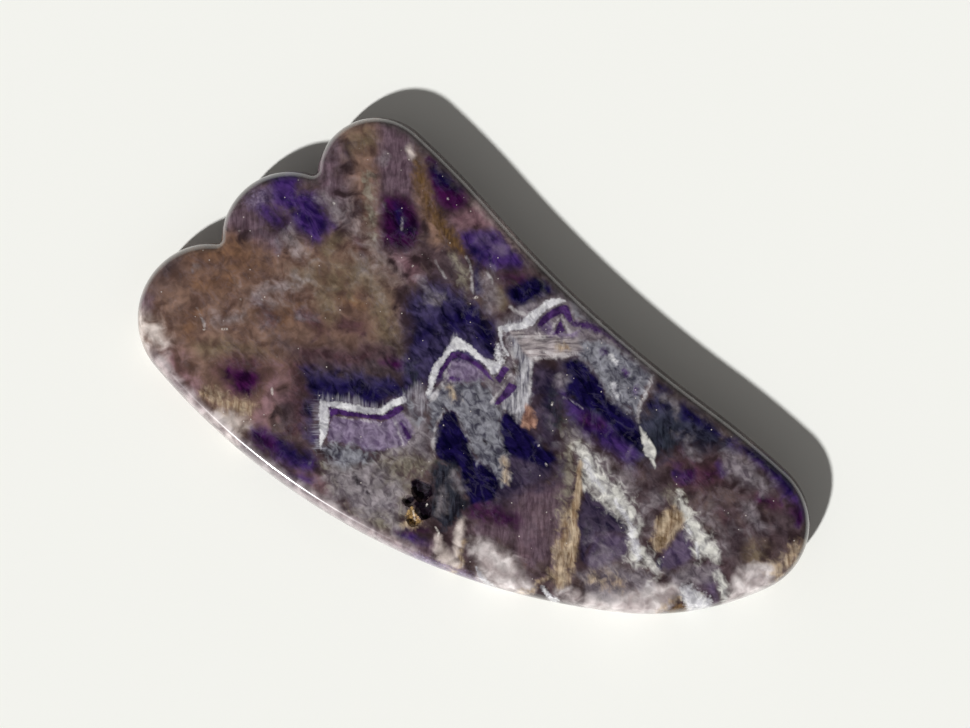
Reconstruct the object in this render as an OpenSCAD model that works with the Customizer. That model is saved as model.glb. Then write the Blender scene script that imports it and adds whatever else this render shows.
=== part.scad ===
// Gua sha scraper: a hand-held massage board cut and polished from one slab of chevron quartz.
// The board lies flat with its underside on Z = 0 and the middle of its box on the Z axis.
// X runs along the board from the scalloped end to the tail. Y runs across it from the belly
// to the hollowed edge. The quartz grew in layers, and each layer is a solid of its own.

/* [Board] */
// Overall length, from the scallops to the tail
board_len = 90; // [84:1:104]
// Thickness of the slab
board_t = 6.5; // [5.5:0.5:8]
// Width of the rounded edge, seen from above
edge_w = 1.8; // [1.6:0.1:2.2]
// Radius where a flat face turns into the rounded edge
edge_shoulder_r = 1.2; // [0.8:0.1:1.3]

/* [Scalloped end] */
// Radius of the scallop beside the belly
belly_scallop_r = 10.1; // [9.5:0.1:11]
// Radius of the middle scallop
middle_scallop_r = 9.5; // [9:0.1:10.5]
// Radius of the scallop beside the hollowed edge
hollow_scallop_r = 8.2; // [7.8:0.1:9.5]
// Distance across the board from the belly scallop's centre to the middle one's
belly_pitch = 14.7; // [13:0.1:16]
// Distance across the board from the middle scallop's centre to the hollow one's
hollow_pitch = 14; // [13:0.1:15]
// How far the middle scallop stands back from the end
middle_setback = 1.5; // [0:0.1:3]
// How far the hollow scallop stands back from the end
hollow_setback = 5.5; // [3:0.1:7]
// Radius at the bottom of the two notches between the scallops
notch_r = 0.5; // [0.3:0.1:1.5]

/* [Belly and tail] */
// Radius of the belly
belly_r = 95; // [80:1:130]
// Radius of the flank, where the belly runs up to the tail
flank_r = 37; // [30:1:45]
// Radius of the tail
tail_r = 9.6; // [8:0.1:11]
// Angle below the length of the board at which the tail turns into the flank
flank_turn = 22; // [15:1:30]

/* [Hollowed edge] */
// Depth of the hollow below its two shoulders
hollow_depth = 1.8; // [1:0.1:3]
// Radius of the shoulders at the two ends of the hollow
shoulder_r = 130; // [100:5:150]

/* [Growth layers] */
// Angle between the length of the board and the run of the layers
strata_turn = 42.5; // [38:0.5:47]
// Thickness of the dark amethyst layer over the chevrons, along the growth
amethyst_t = 8; // [6:0.5:9]
// Thickness of the white chevron layer
white_t = 1.7; // [1.2:0.1:2.4]
// Thickness of the violet layer under the white one
violet_t = 1.5; // [1:0.1:2.2]
// Thickness of the grey lilac layer under the violet one
lilac_t = 6; // [4:0.5:8]

/* [Pocket] */
// Radius of the largest hollow of the open crystal pocket
pocket_r = 1.5; // [1:0.1:2]
// Depth of the pocket below the face
pocket_depth = 1.1; // [0.6:0.1:1.4]

/* [Hidden] */
$fn = 96;

// Flats that stand for the curves: how far one may stray from its arc, and how many an arc has
flat_sag = 0.03;
least_flats = 4;
shoulder_flats = 3;
wall_flats = 4;

// Rounded edge: two shoulder arcs and one flatter wall arc that meet tangentially
half_t = board_t / 2;
wall_r = (edge_w^2 + (half_t - edge_shoulder_r)^2 - edge_shoulder_r^2) / (2 * (edge_w - edge_shoulder_r));
wall_turn = atan2(half_t - edge_shoulder_r, wall_r - edge_w);

// Outline, drawn from the end of the scallops and the line along the hollow's shoulders
hollow_scallop_c = [hollow_setback + hollow_scallop_r, -hollow_scallop_r];
middle_scallop_c = [middle_setback + middle_scallop_r, hollow_scallop_c.y - hollow_pitch];
belly_scallop_c = [belly_scallop_r, middle_scallop_c.y - belly_pitch];
belly_notch_c = meeting_point(belly_scallop_c, belly_scallop_r + notch_r,
                              middle_scallop_c, middle_scallop_r + notch_r);
hollow_notch_c = meeting_point(middle_scallop_c, middle_scallop_r + notch_r,
                               hollow_scallop_c, hollow_scallop_r + notch_r);
tail_c = [board_len - tail_r, -tail_r];
flank_c = tail_c - (flank_r - tail_r) * [cos(flank_turn), -sin(flank_turn)];
belly_c = meeting_point(belly_scallop_c, belly_r - belly_scallop_r, flank_c, belly_r - flank_r);
belly_from = heading(belly_c, belly_scallop_c);
belly_to = heading(belly_c, flank_c);
hollow_half = (tail_c.x - hollow_scallop_c.x) / 2;
hollow_reach = (hollow_half^2 + hollow_depth^2) / (2 * hollow_depth);
hollow_r = hollow_reach - shoulder_r;
hollow_c = [hollow_scallop_c.x + hollow_half, hollow_r - hollow_depth];
front_shoulder_c = [hollow_scallop_c.x, -shoulder_r];
tail_shoulder_c = [tail_c.x, -shoulder_r];
shoulder_turn = asin(hollow_half / hollow_reach);
board_low = belly_c.y - belly_r;
board_middle = [board_len / 2, board_low / 2];

// Edge of the white chevron layer, from left to right along the run of the layers
chevron_line = [[-19.6, -3.5], [-19, 3], [-11.7, 1.2], [-9, 3.4], [-6.3, -1], [-5.5, 4.3], [-1.8, 11.6],
                [3.3, 7.4], [4.7, 7.6], [4.9, 12.6], [7.1, 13.3], [12, 16.1], [13.9, 13.6], [20, 12.4]];
// Edge of the amethyst layer towards the crown, as steps from the foot of the layer
crown_line = [[-30, -10.5], [-19, -1.7], [-9.6, 4.4], [-7.6, 12.4], [-4.2, 18], [1, 23]];
// Reach of a layer's cut beyond the board, along the layers, down at its left end, and through the faces
far = 2 * board_len;
far_fall = 18;
clear = 1;

// Outlines of the milky veins and of the iron oxide, in the layers' own axes
vein_outlines = [
    [[13.2, -4], [14.8, -4.4], [17.5, -6.4], [22.6, -11.2], [24.8, -16], [25.8, -21], [23.8, -20.2],
     [22.6, -16.5], [18, -11.6], [14.4, -8.6]],
    [[26.6, -10.4], [28.2, -10.8], [30, -14.6], [33.6, -20.6], [31.2, -21], [28.2, -16.6]]];
oxide_outlines = [
    [[13, -9], [14, -9.4], [13.9, -15], [13.4, -22.4], [10.6, -23], [11.6, -15.6]],
    [[24.9, -14.2], [26.6, -11.6], [27.9, -12.2], [27.4, -14.6], [25.3, -17.2], [24.4, -16.6]],
    [[7.3, 2], [8.2, 2], [8, -0.4], [7.1, -0.6]]];

// Hollows of the crystal pocket: place in the layers' axes, and size as a share of the largest one
pocket_hollows = [[-6.5, -9, 1], [-8.2, -10.2, 0.6], [-6.2, -11.6, 0.85], [-7.6, -12.8, 0.65]];

// Angle from one point to another
function heading(from, to) = atan2(to.y - from.y, to.x - from.x);

// Point at the given distances from two points, on the left of the way from the first to the second
function meeting_point(a, a_dist, b, b_dist) =
    let (gap = norm(b - a),
         along = (a_dist^2 - b_dist^2 + gap^2) / (2 * gap),
         aside = sqrt(a_dist^2 - along^2),
         ahead = (b - a) / gap)
    a + along * ahead + aside * [-ahead.y, ahead.x];

// Points of an arc at the given distance inside it, without its last end
function arc(c, r, from, to, inset) =
    let (flat_turn = 2 * acos(1 - flat_sag / r),
         flats = max(least_flats, ceil(abs(to - from) / flat_turn)))
    [for (i = [0 : flats - 1])
        let (turn = from + (to - from) * i / flats)
        c + (r - inset) * [cos(turn), sin(turn)]];

// Outline of the board at the given distance inside its edge, anticlockwise
function outline(inset) = concat(
    arc(belly_c, belly_r, belly_from, belly_to, inset),
    arc(flank_c, flank_r, belly_to, -flank_turn, inset),
    arc(tail_c, tail_r, -flank_turn, 90, inset),
    arc(tail_shoulder_c, shoulder_r, 90, 90 + shoulder_turn, inset),
    arc(hollow_c, hollow_r, shoulder_turn - 90, -shoulder_turn - 90, -inset),
    arc(front_shoulder_c, shoulder_r, 90 - shoulder_turn, 90, inset),
    arc(hollow_scallop_c, hollow_scallop_r, 90, 360 + heading(hollow_scallop_c, hollow_notch_c), inset),
    arc(hollow_notch_c, notch_r, heading(hollow_notch_c, hollow_scallop_c),
        heading(hollow_notch_c, middle_scallop_c), -inset),
    arc(middle_scallop_c, middle_scallop_r, heading(middle_scallop_c, hollow_notch_c),
        360 + heading(middle_scallop_c, belly_notch_c), inset),
    arc(belly_notch_c, notch_r, heading(belly_notch_c, middle_scallop_c),
        heading(belly_notch_c, belly_scallop_c), -inset),
    arc(belly_scallop_c, belly_scallop_r, heading(belly_scallop_c, belly_notch_c),
        360 + belly_from, inset));

// Section of the rounded edge from the underside to the upper face: distance inside the edge, and height
edge_section = concat(
    [for (i = [0 : shoulder_flats])
        let (turn = -90 + (90 - wall_turn) * i / shoulder_flats)
        [edge_w - edge_shoulder_r * cos(turn), edge_shoulder_r * (1 + sin(turn))]],
    [for (i = [1 : wall_flats - 1])
        let (turn = wall_turn * (2 * i / wall_flats - 1))
        [wall_r * (1 - cos(turn)), half_t + wall_r * sin(turn)]],
    [for (i = [0 : shoulder_flats])
        let (turn = wall_turn + (90 - wall_turn) * i / shoulder_flats)
        [edge_w - edge_shoulder_r * cos(turn), board_t - edge_shoulder_r * (1 - sin(turn))]]);

// Whole board as it was cut from the slab
module board() {
    rings = [for (level = edge_section) outline(level[0])];
    ring_len = len(rings[0]);
    ring_count = len(rings);
    ring_points = [for (level = [0 : ring_count - 1]) for (p = rings[level])
        [p.x - board_middle.x, p.y - board_middle.y, edge_section[level][1]]];
    underside = ring_len * ring_count;
    upper = underside + 1;
    top_ring = ring_len * (ring_count - 1);
    next = [for (i = [0 : ring_len - 1]) (i + 1) % ring_len];
    walls = [for (level = [0 : ring_count - 2]) for (i = [0 : ring_len - 1])
        let (low = level * ring_len, high = low + ring_len)
        [low + i, high + i, high + next[i], low + next[i]]];
    faces = concat(
        walls,
        [for (i = [0 : ring_len - 1]) [underside, i, next[i]]],
        [for (i = [0 : ring_len - 1]) [upper, top_ring + next[i], top_ring + i]]);
    polyhedron(concat(ring_points, [[0, 0, 0], [0, 0, board_t]]), faces);
}

// Block of stone under a line that runs across the layers, lowered by the given distance
module under(line, drop) {
    first = line[0];
    last = line[len(line) - 1];
    rotate(strata_turn) translate([0, -drop, -clear]) linear_extrude(board_t + 2 * clear)
        polygon(concat([[-far, first.y - far_fall]], line, [[far, last.y], [far, -far], [-far, -far]]));
}

// Upright prisms on the given outlines
module prisms(outlines) {
    rotate(strata_turn) translate([0, 0, -clear]) linear_extrude(board_t + 2 * clear)
        for (outline = outlines) polygon(outline);
}

module smoky_crown() {
    color("#7d6a58") difference() {
        board();
        under(crown_line, -amethyst_t);
        under(chevron_line, 0);
    }
}

module amethyst_layer() {
    color("#2f2145") difference() {
        intersection() {
            board();
            under(crown_line, -amethyst_t);
        }
        under(chevron_line, 0);
    }
}

// Chevron layer of the board between two depths under the chevron line
module chevron_layer(top, bottom) {
    difference() {
        intersection() {
            board();
            under(chevron_line, top);
        }
        under(chevron_line, bottom);
    }
}

module white_chevron() {
    color("#c9c6cf") chevron_layer(0, white_t);
}

module violet_band() {
    color("#4a2a78") chevron_layer(white_t, white_t + violet_t);
}

module lilac_layer() {
    color("#8d84a0") difference() {
        chevron_layer(white_t + violet_t, white_t + violet_t + lilac_t);
        prisms(oxide_outlines);
        crystal_pocket();
    }
}

module amethyst_root() {
    color("#3b2f4f") difference() {
        intersection() {
            board();
            under(chevron_line, white_t + violet_t + lilac_t);
        }
        prisms(vein_outlines);
        prisms(oxide_outlines);
        crystal_pocket();
    }
}

module milky_veins() {
    color("#b9b8be") difference() {
        intersection() {
            board();
            prisms(vein_outlines);
        }
        prisms(oxide_outlines);
    }
}

module iron_oxide() {
    color("#8a6238") intersection() {
        board();
        prisms(oxide_outlines);
    }
}

// Open pocket in the upper face, where round hollows run into each other
module crystal_pocket() {
    rotate(strata_turn) for (hollow = pocket_hollows)
        let (r = pocket_r * hollow[2], depth = pocket_depth * hollow[2])
        translate([hollow.x, hollow.y, board_t + r - depth]) sphere(r);
}

smoky_crown();
amethyst_layer();
white_chevron();
violet_band();
lilac_layer();
amethyst_root();
milky_veins();
iron_oxide();
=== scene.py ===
# Looks of the gua sha scraper: a polished slab of chevron quartz in its eight growth layers.
import math
from collections import namedtuple

import bmesh
import bpy
import numpy as np
from mathutils import Matrix, Vector, noise


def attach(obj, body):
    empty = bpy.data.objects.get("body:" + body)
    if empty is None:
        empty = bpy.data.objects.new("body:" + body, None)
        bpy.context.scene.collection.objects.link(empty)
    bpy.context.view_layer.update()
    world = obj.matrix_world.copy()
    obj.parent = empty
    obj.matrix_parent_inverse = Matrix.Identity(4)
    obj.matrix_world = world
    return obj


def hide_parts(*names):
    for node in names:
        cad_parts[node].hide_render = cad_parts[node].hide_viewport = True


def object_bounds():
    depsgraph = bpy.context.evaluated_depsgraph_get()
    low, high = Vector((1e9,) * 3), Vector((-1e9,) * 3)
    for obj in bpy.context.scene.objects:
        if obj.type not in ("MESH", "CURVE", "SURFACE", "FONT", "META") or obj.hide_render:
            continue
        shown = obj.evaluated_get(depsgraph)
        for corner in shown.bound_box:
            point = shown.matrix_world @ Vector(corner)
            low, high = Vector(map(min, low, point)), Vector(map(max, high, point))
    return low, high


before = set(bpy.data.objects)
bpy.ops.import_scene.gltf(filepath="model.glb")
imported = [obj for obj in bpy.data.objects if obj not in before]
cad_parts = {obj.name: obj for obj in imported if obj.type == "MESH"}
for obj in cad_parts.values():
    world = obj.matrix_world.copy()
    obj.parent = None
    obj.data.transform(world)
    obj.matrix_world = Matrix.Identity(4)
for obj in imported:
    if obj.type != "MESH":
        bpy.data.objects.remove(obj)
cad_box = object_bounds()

# Units: the drawing is in millimetres, and a finished piece is in metres
MM = 0.001

# Board: its length and thickness as model.glb has them, and the width and shoulder of its rounded edge
BOARD_LEN = (cad_box[1][0] - cad_box[0][0]) / MM
BOARD_T = (cad_box[1][2] - cad_box[0][2]) / MM
HALF_T = BOARD_T / 2
EDGE_W = 1.8
EDGE_SHOULDER_R = 1.2

# Scalloped end
BELLY_SCALLOP_R = 10.1
MIDDLE_SCALLOP_R = 9.5
HOLLOW_SCALLOP_R = 8.2
BELLY_PITCH = 14.7
HOLLOW_PITCH = 14
MIDDLE_SETBACK = 1.5
HOLLOW_SETBACK = 5.5
NOTCH_R = 0.5

# Belly, tail and hollowed edge
BELLY_R = 95
FLANK_R = 37
TAIL_R = 9.6
FLANK_TURN = math.radians(22)
HOLLOW_DEPTH = 1.8
SHOULDER_R = 130

# Fineness of the board: longest step along an arc and its turn, least steps of an arc, steps of the edge's
# wall and shoulder, fineness of the pocket's balls, and the angle from which an edge is sharp
ARC_LENGTH = 0.45
ARC_STEP = math.radians(6)
LEAST_STEPS = 4
WALL_STEPS = 5
SHOULDER_STEPS = 7
BALL_FINENESS = 3
SHARP_EDGE = math.radians(35)

# Cuts of the flat faces: their spacing above and below, how far they reach both ways, and the share of a
# spacing at which they start
UPPER_SPACING = 0.24
LOWER_SPACING = 0.66
SLICE_REACH = (BOARD_LEN / 2, BOARD_LEN / 3)
SLICE_START = 0.37

# Distances that count as none: at a cut, elsewhere on the board, and where its outline closes
SLICE_GAP = 0.0001
MERGE_GAP = 0.001
JOIN_GAP = 0.01

# Growth layers: the turn of their axes, which run along them and across, their lean through the slab, and
# how thick they are, the amethyst over the crown's line
STRATA_TURN = math.radians(42.5)
STRATA_LEAN = 0.3
AMETHYST_T = 8
WHITE_T = 1.7
VIOLET_T = 1.5
LILAC_T = 6

# Cutters of the layers: how far they reach, how far a line falls towards its first end, and how far they
# stand out of the board
FAR = 2 * BOARD_LEN
FAR_FALL = 18
CLEAR = 1

# Lines of the layers and outlines of the veins and the oxide, in the layers' axes
CHEVRON_LINE = [(-19.6, -3.5), (-19, 3), (-11.7, 1.2), (-9, 3.4), (-6.3, -1), (-5.5, 4.3), (-1.8, 11.6),
                (3.3, 7.4), (4.7, 7.6), (4.9, 12.6), (7.1, 13.3), (12, 16.1), (13.9, 13.6), (20, 12.4)]
CROWN_LINE = [(-30, -10.5), (-19, -1.7), (-9.6, 4.4), (-7.6, 12.4), (-4.2, 18), (1, 23)]
VEIN_OUTLINES = [
    [(13.2, -4), (14.8, -4.4), (17.5, -6.4), (22.6, -11.2), (24.8, -16), (25.8, -21), (23.8, -20.2),
     (22.6, -16.5), (18, -11.6), (14.4, -8.6)],
    [(26.6, -10.4), (28.2, -10.8), (30, -14.6), (33.6, -20.6), (31.2, -21), (28.2, -16.6)],
]
OXIDE_OUTLINES = [
    [(13, -9), (14, -9.4), (13.9, -15), (13.4, -22.4), (10.6, -23), (11.6, -15.6)],
    [(24.9, -14.2), (26.6, -11.6), (27.9, -12.2), (27.4, -14.6), (25.3, -17.2), (24.4, -16.6)],
    [(7.3, 2), (8.2, 2), (8, -0.4), (7.1, -0.6)],
]

# Open crystal pocket: each hollow's place in the layers' axes and its size as a share of the largest one
POCKET_R = 1.5
POCKET_DEPTH = 1.1
POCKET_HOLLOWS = [(-6.5, -9, 1), (-8.2, -10.2, 0.6), (-6.2, -11.6, 0.85), (-7.6, -12.8, 0.65)]

# Walls of the pocket: their unevenness, widest reach as a share of the radius, lip and material
POCKET_RELIEF = 0.16
POCKET_REACH = 1.4
POCKET_LIP = 0.01
ROUGH_SLOT = 1

# Widest reach of a cover as a share of a stroke's softness, and the least square of a stroke's length
COVER_REACH = 3.0
LEAST_SQUARE = 1e-9

# Drift of the pattern's edges: turns to the millimetre and how far they go, and the streaks' direction
DRIFTS = [(0.4, 0.4), (1.4, 0.15)]
STREAK_TURN = math.radians(50)

# Painted light and shade at the rim: its softness as a share of its width, the height at which it fades
# down the wall, and how softly
RIM_SOFTNESS = 0.3
RIM_HEIGHT = 0.65 * BOARD_T
RIM_FADE = 0.9


def heading(start, end):
    """Angle of the way from one point to another."""
    return math.atan2(end.y - start.y, end.x - start.x)


def meeting_point(a, a_dist, b, b_dist):
    """Point at given distances from two points, on the left of the way from the first to the second."""
    gap = (b - a).length
    along = (a_dist ** 2 - b_dist ** 2 + gap ** 2) / (2 * gap)
    aside = math.sqrt(a_dist ** 2 - along ** 2)
    ahead = (b - a) / gap
    return a + along * ahead + aside * Vector((-ahead.y, ahead.x))


def outline_arcs():
    """First point of the board's outline, the arcs that carry it round, and the middle of its box."""
    full = 2 * math.pi
    quarter = math.pi / 2
    hollow_scallop = Vector((HOLLOW_SETBACK + HOLLOW_SCALLOP_R, -HOLLOW_SCALLOP_R))
    middle_scallop = Vector((MIDDLE_SETBACK + MIDDLE_SCALLOP_R, hollow_scallop.y - HOLLOW_PITCH))
    belly_scallop = Vector((BELLY_SCALLOP_R, middle_scallop.y - BELLY_PITCH))
    belly_notch = meeting_point(belly_scallop, BELLY_SCALLOP_R + NOTCH_R,
                                middle_scallop, MIDDLE_SCALLOP_R + NOTCH_R)
    hollow_notch = meeting_point(middle_scallop, MIDDLE_SCALLOP_R + NOTCH_R,
                                 hollow_scallop, HOLLOW_SCALLOP_R + NOTCH_R)
    tail = Vector((BOARD_LEN - TAIL_R, -TAIL_R))
    flank = tail - (FLANK_R - TAIL_R) * Vector((math.cos(FLANK_TURN), -math.sin(FLANK_TURN)))
    belly = meeting_point(belly_scallop, BELLY_R - BELLY_SCALLOP_R, flank, BELLY_R - FLANK_R)
    belly_from = heading(belly, belly_scallop)
    belly_to = heading(belly, flank)
    hollow_half = (tail.x - hollow_scallop.x) / 2
    hollow_reach = (hollow_half ** 2 + HOLLOW_DEPTH ** 2) / (2 * HOLLOW_DEPTH)
    hollow_r = hollow_reach - SHOULDER_R
    hollow = Vector((hollow_scallop.x + hollow_half, hollow_r - HOLLOW_DEPTH))
    shoulder_turn = math.asin(hollow_half / hollow_reach)
    arcs = [
        (belly, belly_to - belly_from),
        (flank, -FLANK_TURN - belly_to),
        (tail, quarter + FLANK_TURN),
        (Vector((tail.x, -SHOULDER_R)), shoulder_turn),
        (hollow, -2 * shoulder_turn),
        (Vector((hollow_scallop.x, -SHOULDER_R)), shoulder_turn),
        (hollow_scallop, full + heading(hollow_scallop, hollow_notch) - quarter),
        (hollow_notch, heading(hollow_notch, middle_scallop) - heading(hollow_notch, hollow_scallop)),
        (middle_scallop,
         full + heading(middle_scallop, belly_notch) - heading(middle_scallop, hollow_notch)),
        (belly_notch, heading(belly_notch, belly_scallop) - heading(belly_notch, middle_scallop)),
        (belly_scallop, full + belly_from - heading(belly_scallop, belly_notch)),
    ]
    first = belly + BELLY_R * Vector((math.cos(belly_from), math.sin(belly_from)))
    middle = Vector((BOARD_LEN / 2, (belly.y - BELLY_R) / 2))
    return first, arcs, middle


def edge_steps():
    """Steps of the rounded edge from its widest line to the upper face: how far in and how far up."""
    wall_r = (EDGE_W ** 2 + (HALF_T - EDGE_SHOULDER_R) ** 2 - EDGE_SHOULDER_R ** 2) \
        / (2 * (EDGE_W - EDGE_SHOULDER_R))
    wall_turn = math.atan2(HALF_T - EDGE_SHOULDER_R, wall_r - EDGE_W)
    section = [(0.0, 0.0)]
    for step in range(1, WALL_STEPS + 1):
        turn = wall_turn * step / WALL_STEPS
        section.append((wall_r * (1 - math.cos(turn)), wall_r * math.sin(turn)))
    for step in range(1, SHOULDER_STEPS + 1):
        turn = wall_turn + (math.pi / 2 - wall_turn) * step / SHOULDER_STEPS
        section.append((EDGE_W - EDGE_SHOULDER_R * math.cos(turn),
                        HALF_T - EDGE_SHOULDER_R * (1 - math.sin(turn))))
    return [(end[0] - start[0], end[1] - start[1]) for start, end in zip(section, section[1:])]


def cut_board():
    """Whole board: its outline carried round by arcs, drawn in and up over the edge, and mirrored below."""
    bm = bmesh.new()
    first, arcs, middle = outline_arcs()
    tip = bm.verts.new((first.x - middle.x, first.y - middle.y, 0))
    for centre, turn in arcs:
        radius = (tip.co.xy - (centre - middle)).length
        steps = max(LEAST_STEPS, math.ceil(abs(turn) / ARC_STEP),
                    math.ceil(abs(turn) * radius / ARC_LENGTH))
        swept = bmesh.ops.spin(bm, geom=[tip], cent=(centre - middle).to_3d(), axis=(0, 0, 1),
                               angle=turn, steps=steps)
        tip = next(part for part in swept["geom_last"] if isinstance(part, bmesh.types.BMVert))
    bmesh.ops.remove_doubles(bm, verts=bm.verts, dist=JOIN_GAP)
    face = bmesh.ops.contextual_create(bm, geom=bm.edges)["faces"][0]
    if face.normal.z < 0:
        face.normal_flip()
    outline = np.array([vert.co.xy for vert in face.verts])
    for inward, upward in edge_steps():
        bmesh.ops.inset_region(bm, faces=[face], use_boundary=True, use_even_offset=True,
                               thickness=inward, depth=upward)
    bmesh.ops.mirror(bm, geom=bm.verts[:] + bm.edges[:] + bm.faces[:], merge_dist=MERGE_GAP, axis="Z")
    bmesh.ops.remove_doubles(bm, verts=bm.verts, dist=MERGE_GAP)
    bmesh.ops.recalc_face_normals(bm, faces=bm.faces)
    bmesh.ops.translate(bm, verts=bm.verts, vec=(0, 0, HALF_T))
    return bm, outline


def scratch_object(name, bm):
    """Object of a drawing that other drawings are cut by."""
    mesh = bpy.data.meshes.new(name)
    bm.to_mesh(mesh)
    bm.free()
    scratch = bpy.data.objects.new(name, mesh)
    bpy.context.scene.collection.objects.link(scratch)
    return scratch


def prism(name, outlines):
    """Upright prisms through the whole board, of outlines in the layers' axes."""
    bm = bmesh.new()
    for outline in outlines:
        corners = [bm.verts.new((along, across, -CLEAR)) for along, across in outline]
        raised = bmesh.ops.extrude_face_region(bm, geom=[bm.faces.new(corners)], use_keep_orig=True)
        tops = [part for part in raised["geom"] if isinstance(part, bmesh.types.BMVert)]
        bmesh.ops.translate(bm, verts=tops, vec=(0, 0, BOARD_T + 2 * CLEAR))
    bmesh.ops.rotate(bm, verts=bm.verts, cent=(0, 0, 0), matrix=Matrix.Rotation(STRATA_TURN, 3, "Z"))
    bmesh.ops.recalc_face_normals(bm, faces=bm.faces)
    return scratch_object(name, bm)


def under(name, line, drop):
    """Prism of everything that lies a given drop below a line of the layers."""
    outline = [(-FAR, line[0][1] - FAR_FALL), *line, (FAR, line[-1][1]), (FAR, -FAR), (-FAR, -FAR)]
    return prism(name, [[(along, across - drop) for along, across in outline]])


def pocket_balls():
    """Middle and radius of each round hollow of the crystal pocket."""
    for along, across, size in POCKET_HOLLOWS:
        radius = POCKET_R * size
        place = Matrix.Rotation(STRATA_TURN, 3, "Z") @ Vector((along, across, 0))
        place.z = BOARD_T + radius - POCKET_DEPTH * size
        yield place, radius


def pocket_cutter():
    """Round hollows of the crystal pocket, with uneven walls."""
    bm = bmesh.new()
    for place, radius in pocket_balls():
        ball = bmesh.ops.create_icosphere(bm, subdivisions=BALL_FINENESS, radius=radius,
                                          matrix=Matrix.Translation(place))
        for vert in ball["verts"]:
            relief = noise.noise(vert.co) + noise.noise(vert.co * 3)
            vert.co += (vert.co - place) * POCKET_RELIEF * relief
    return scratch_object("pocket", bm)


def roughen_pocket(bm):
    """Marks the walls of the pocket, which no polish has reached."""
    for place, radius in pocket_balls():
        for face in bm.faces:
            middle = face.calc_center_median()
            sunken = HALF_T < middle.z < BOARD_T - POCKET_LIP
            if sunken and (middle - place).length < POCKET_REACH * radius:
                face.material_index = ROUGH_SLOT


def carve(board, keeps, drops):
    """Drawing of what is left of the board inside some cutters and outside others."""
    piece = bpy.data.objects.new("carved", board.data)
    bpy.context.scene.collection.objects.link(piece)
    for operation, cutters in (("INTERSECT", keeps), ("DIFFERENCE", drops)):
        for cutter in cutters:
            cut = piece.modifiers.new("cut", "BOOLEAN")
            cut.operation = operation
            cut.object = cutter
            cut.solver = "EXACT"
            cut.use_self = cutter.name == "pocket"
    bm = bmesh.new()
    bm.from_object(piece, bpy.context.evaluated_depsgraph_get())
    bpy.data.objects.remove(piece)
    return bm


def slice_face(bm, height, spacing):
    """Cuts one flat side of a piece by even planes both ways, so that its pattern has points to sit on."""
    ahead = [face for face in bm.faces if all(abs(vert.co.z - height) < MERGE_GAP for vert in face.verts)]
    for axis, half in enumerate(SLICE_REACH):
        across = Vector((0, 0, 0))
        across[axis] = 1
        done = []
        for step in range(math.ceil(2 * half / spacing)):
            place = across * ((step + SLICE_START) * spacing - half)
            edges = dict.fromkeys(edge for face in ahead for edge in face.edges)
            verts = dict.fromkeys(vert for face in ahead for vert in face.verts)
            cut = bmesh.ops.bisect_plane(bm, geom=[*verts, *edges, *ahead], dist=SLICE_GAP,
                                         plane_co=place, plane_no=across)
            ahead = []
            for face in cut["geom"]:
                if isinstance(face, bmesh.types.BMFace):
                    reach = max(vert.co[axis] for vert in face.verts)
                    (ahead if reach > place[axis] + MERGE_GAP else done).append(face)
        ahead = done + ahead


# Pattern of the stone. A stroke is its softness and its points, and a point is its place along the layers,
# its place across them and half the stroke's width there, in millimetres. Points with no width are the
# corners of an area. A finish runs between two colours by its body noise, and its edge noise makes it stray
# from its strokes by a share of their softness. A rim keeps a finish within that distance of the edge, and
# such a finish fades down the wall.
# The finishes with a rim are painted light and shade at the edge: the glow, highlights and see-through look
# of the clear rim.
Finish = namedtuple("Finish", "name dark light body edge stray cover rim strokes")

SMOKE = Finish("smoke", "#5a443c", "#866b5e", "cloud", "cloud", 1.0, 1, None, [
    (2.0, [(-47, 18), (-40, 26), (-33, 25), (-28, 23.5), (-23, 24), (-18, 25), (-13, 25), (-10.5, 19),
           (-10.5, 11), (-14, 8), (-22, 8.5), (-25, 4), (-27, 0), (-33, -4), (-46, 8)]),
    (1.5, [(-18, 41), (-12, 41), (-12.4, 30), (-12, 24), (-15, 24), (-15.5, 32)]),
    (1.0, [(-6.6, 31, 1), (-5.6, 27.5, 1), (-4.4, 24.5, 1)]),
])
RUST = Finish("rust", "#543b2d", "#76563f", "stream", "cloud", 1.2, 0.8, None, [
    (2.6, [(-37, 22.5, 1.2), (-32, 22.6, 1.8), (-28.5, 20.5, 1.2)]),
    (2.08, [(-36, 18.6, 1), (-32, 18.6, 1.4), (-30, 20, 1)]),
    (1.82, [(-29, 14.8, 0.8), (-25, 14.2, 1.2), (-22.6, 15.5, 1)]),
    (1.3, [(-17, 16.6, 0.8), (-14.5, 15.8, 0.8)]),
    (1.3, [(-37.5, 12, 0.8), (-36.4, 15, 0.6)]),
    (1.04, [(7, -16.4, 0.6), (7.4, -18.6, 0.8)]),
    (1.04, [(23.9, 4.6, 0.5), (24.2, 3.6, 0.4)]),
])
OLIVE = Finish("olive", "#564939", "#796b56", "stream", "cloud", 1.0, 0.8, None, [
    (2.52, [(-22, 19.6, 1), (-18.5, 18.6, 2), (-14.5, 20, 1.6), (-12.4, 17, 1.2)]),
    (1.68, [(-19.6, 17.5, 1), (-18.6, 14.5, 1)]),
    (1.68, [(-12, 15, 1), (-11, 11.5, 1.2), (-10, 9, 0.8)]),
    (1.26, [(-35.3, 9.8, 0.6), (-32, 9.7, 0.7), (-28, 9.3, 0.5)]),
    (1.4, [(-16, 36.4, 1), (-13.8, 37.6, 1.2)]),
    (1.12, [(-19, 23, 1), (-17.5, 24.5, 0.8)]),
    (1.4, [(36.5, -17.2, 1), (38.8, -17, 0.9)]),
    (1.68, [(9.5, -11, 1), (10.5, -15, 1.2)]),
    (0.84, [(3.7, 17.6, 0.4), (4.2, 15.6, 0.5)]),
])
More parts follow.
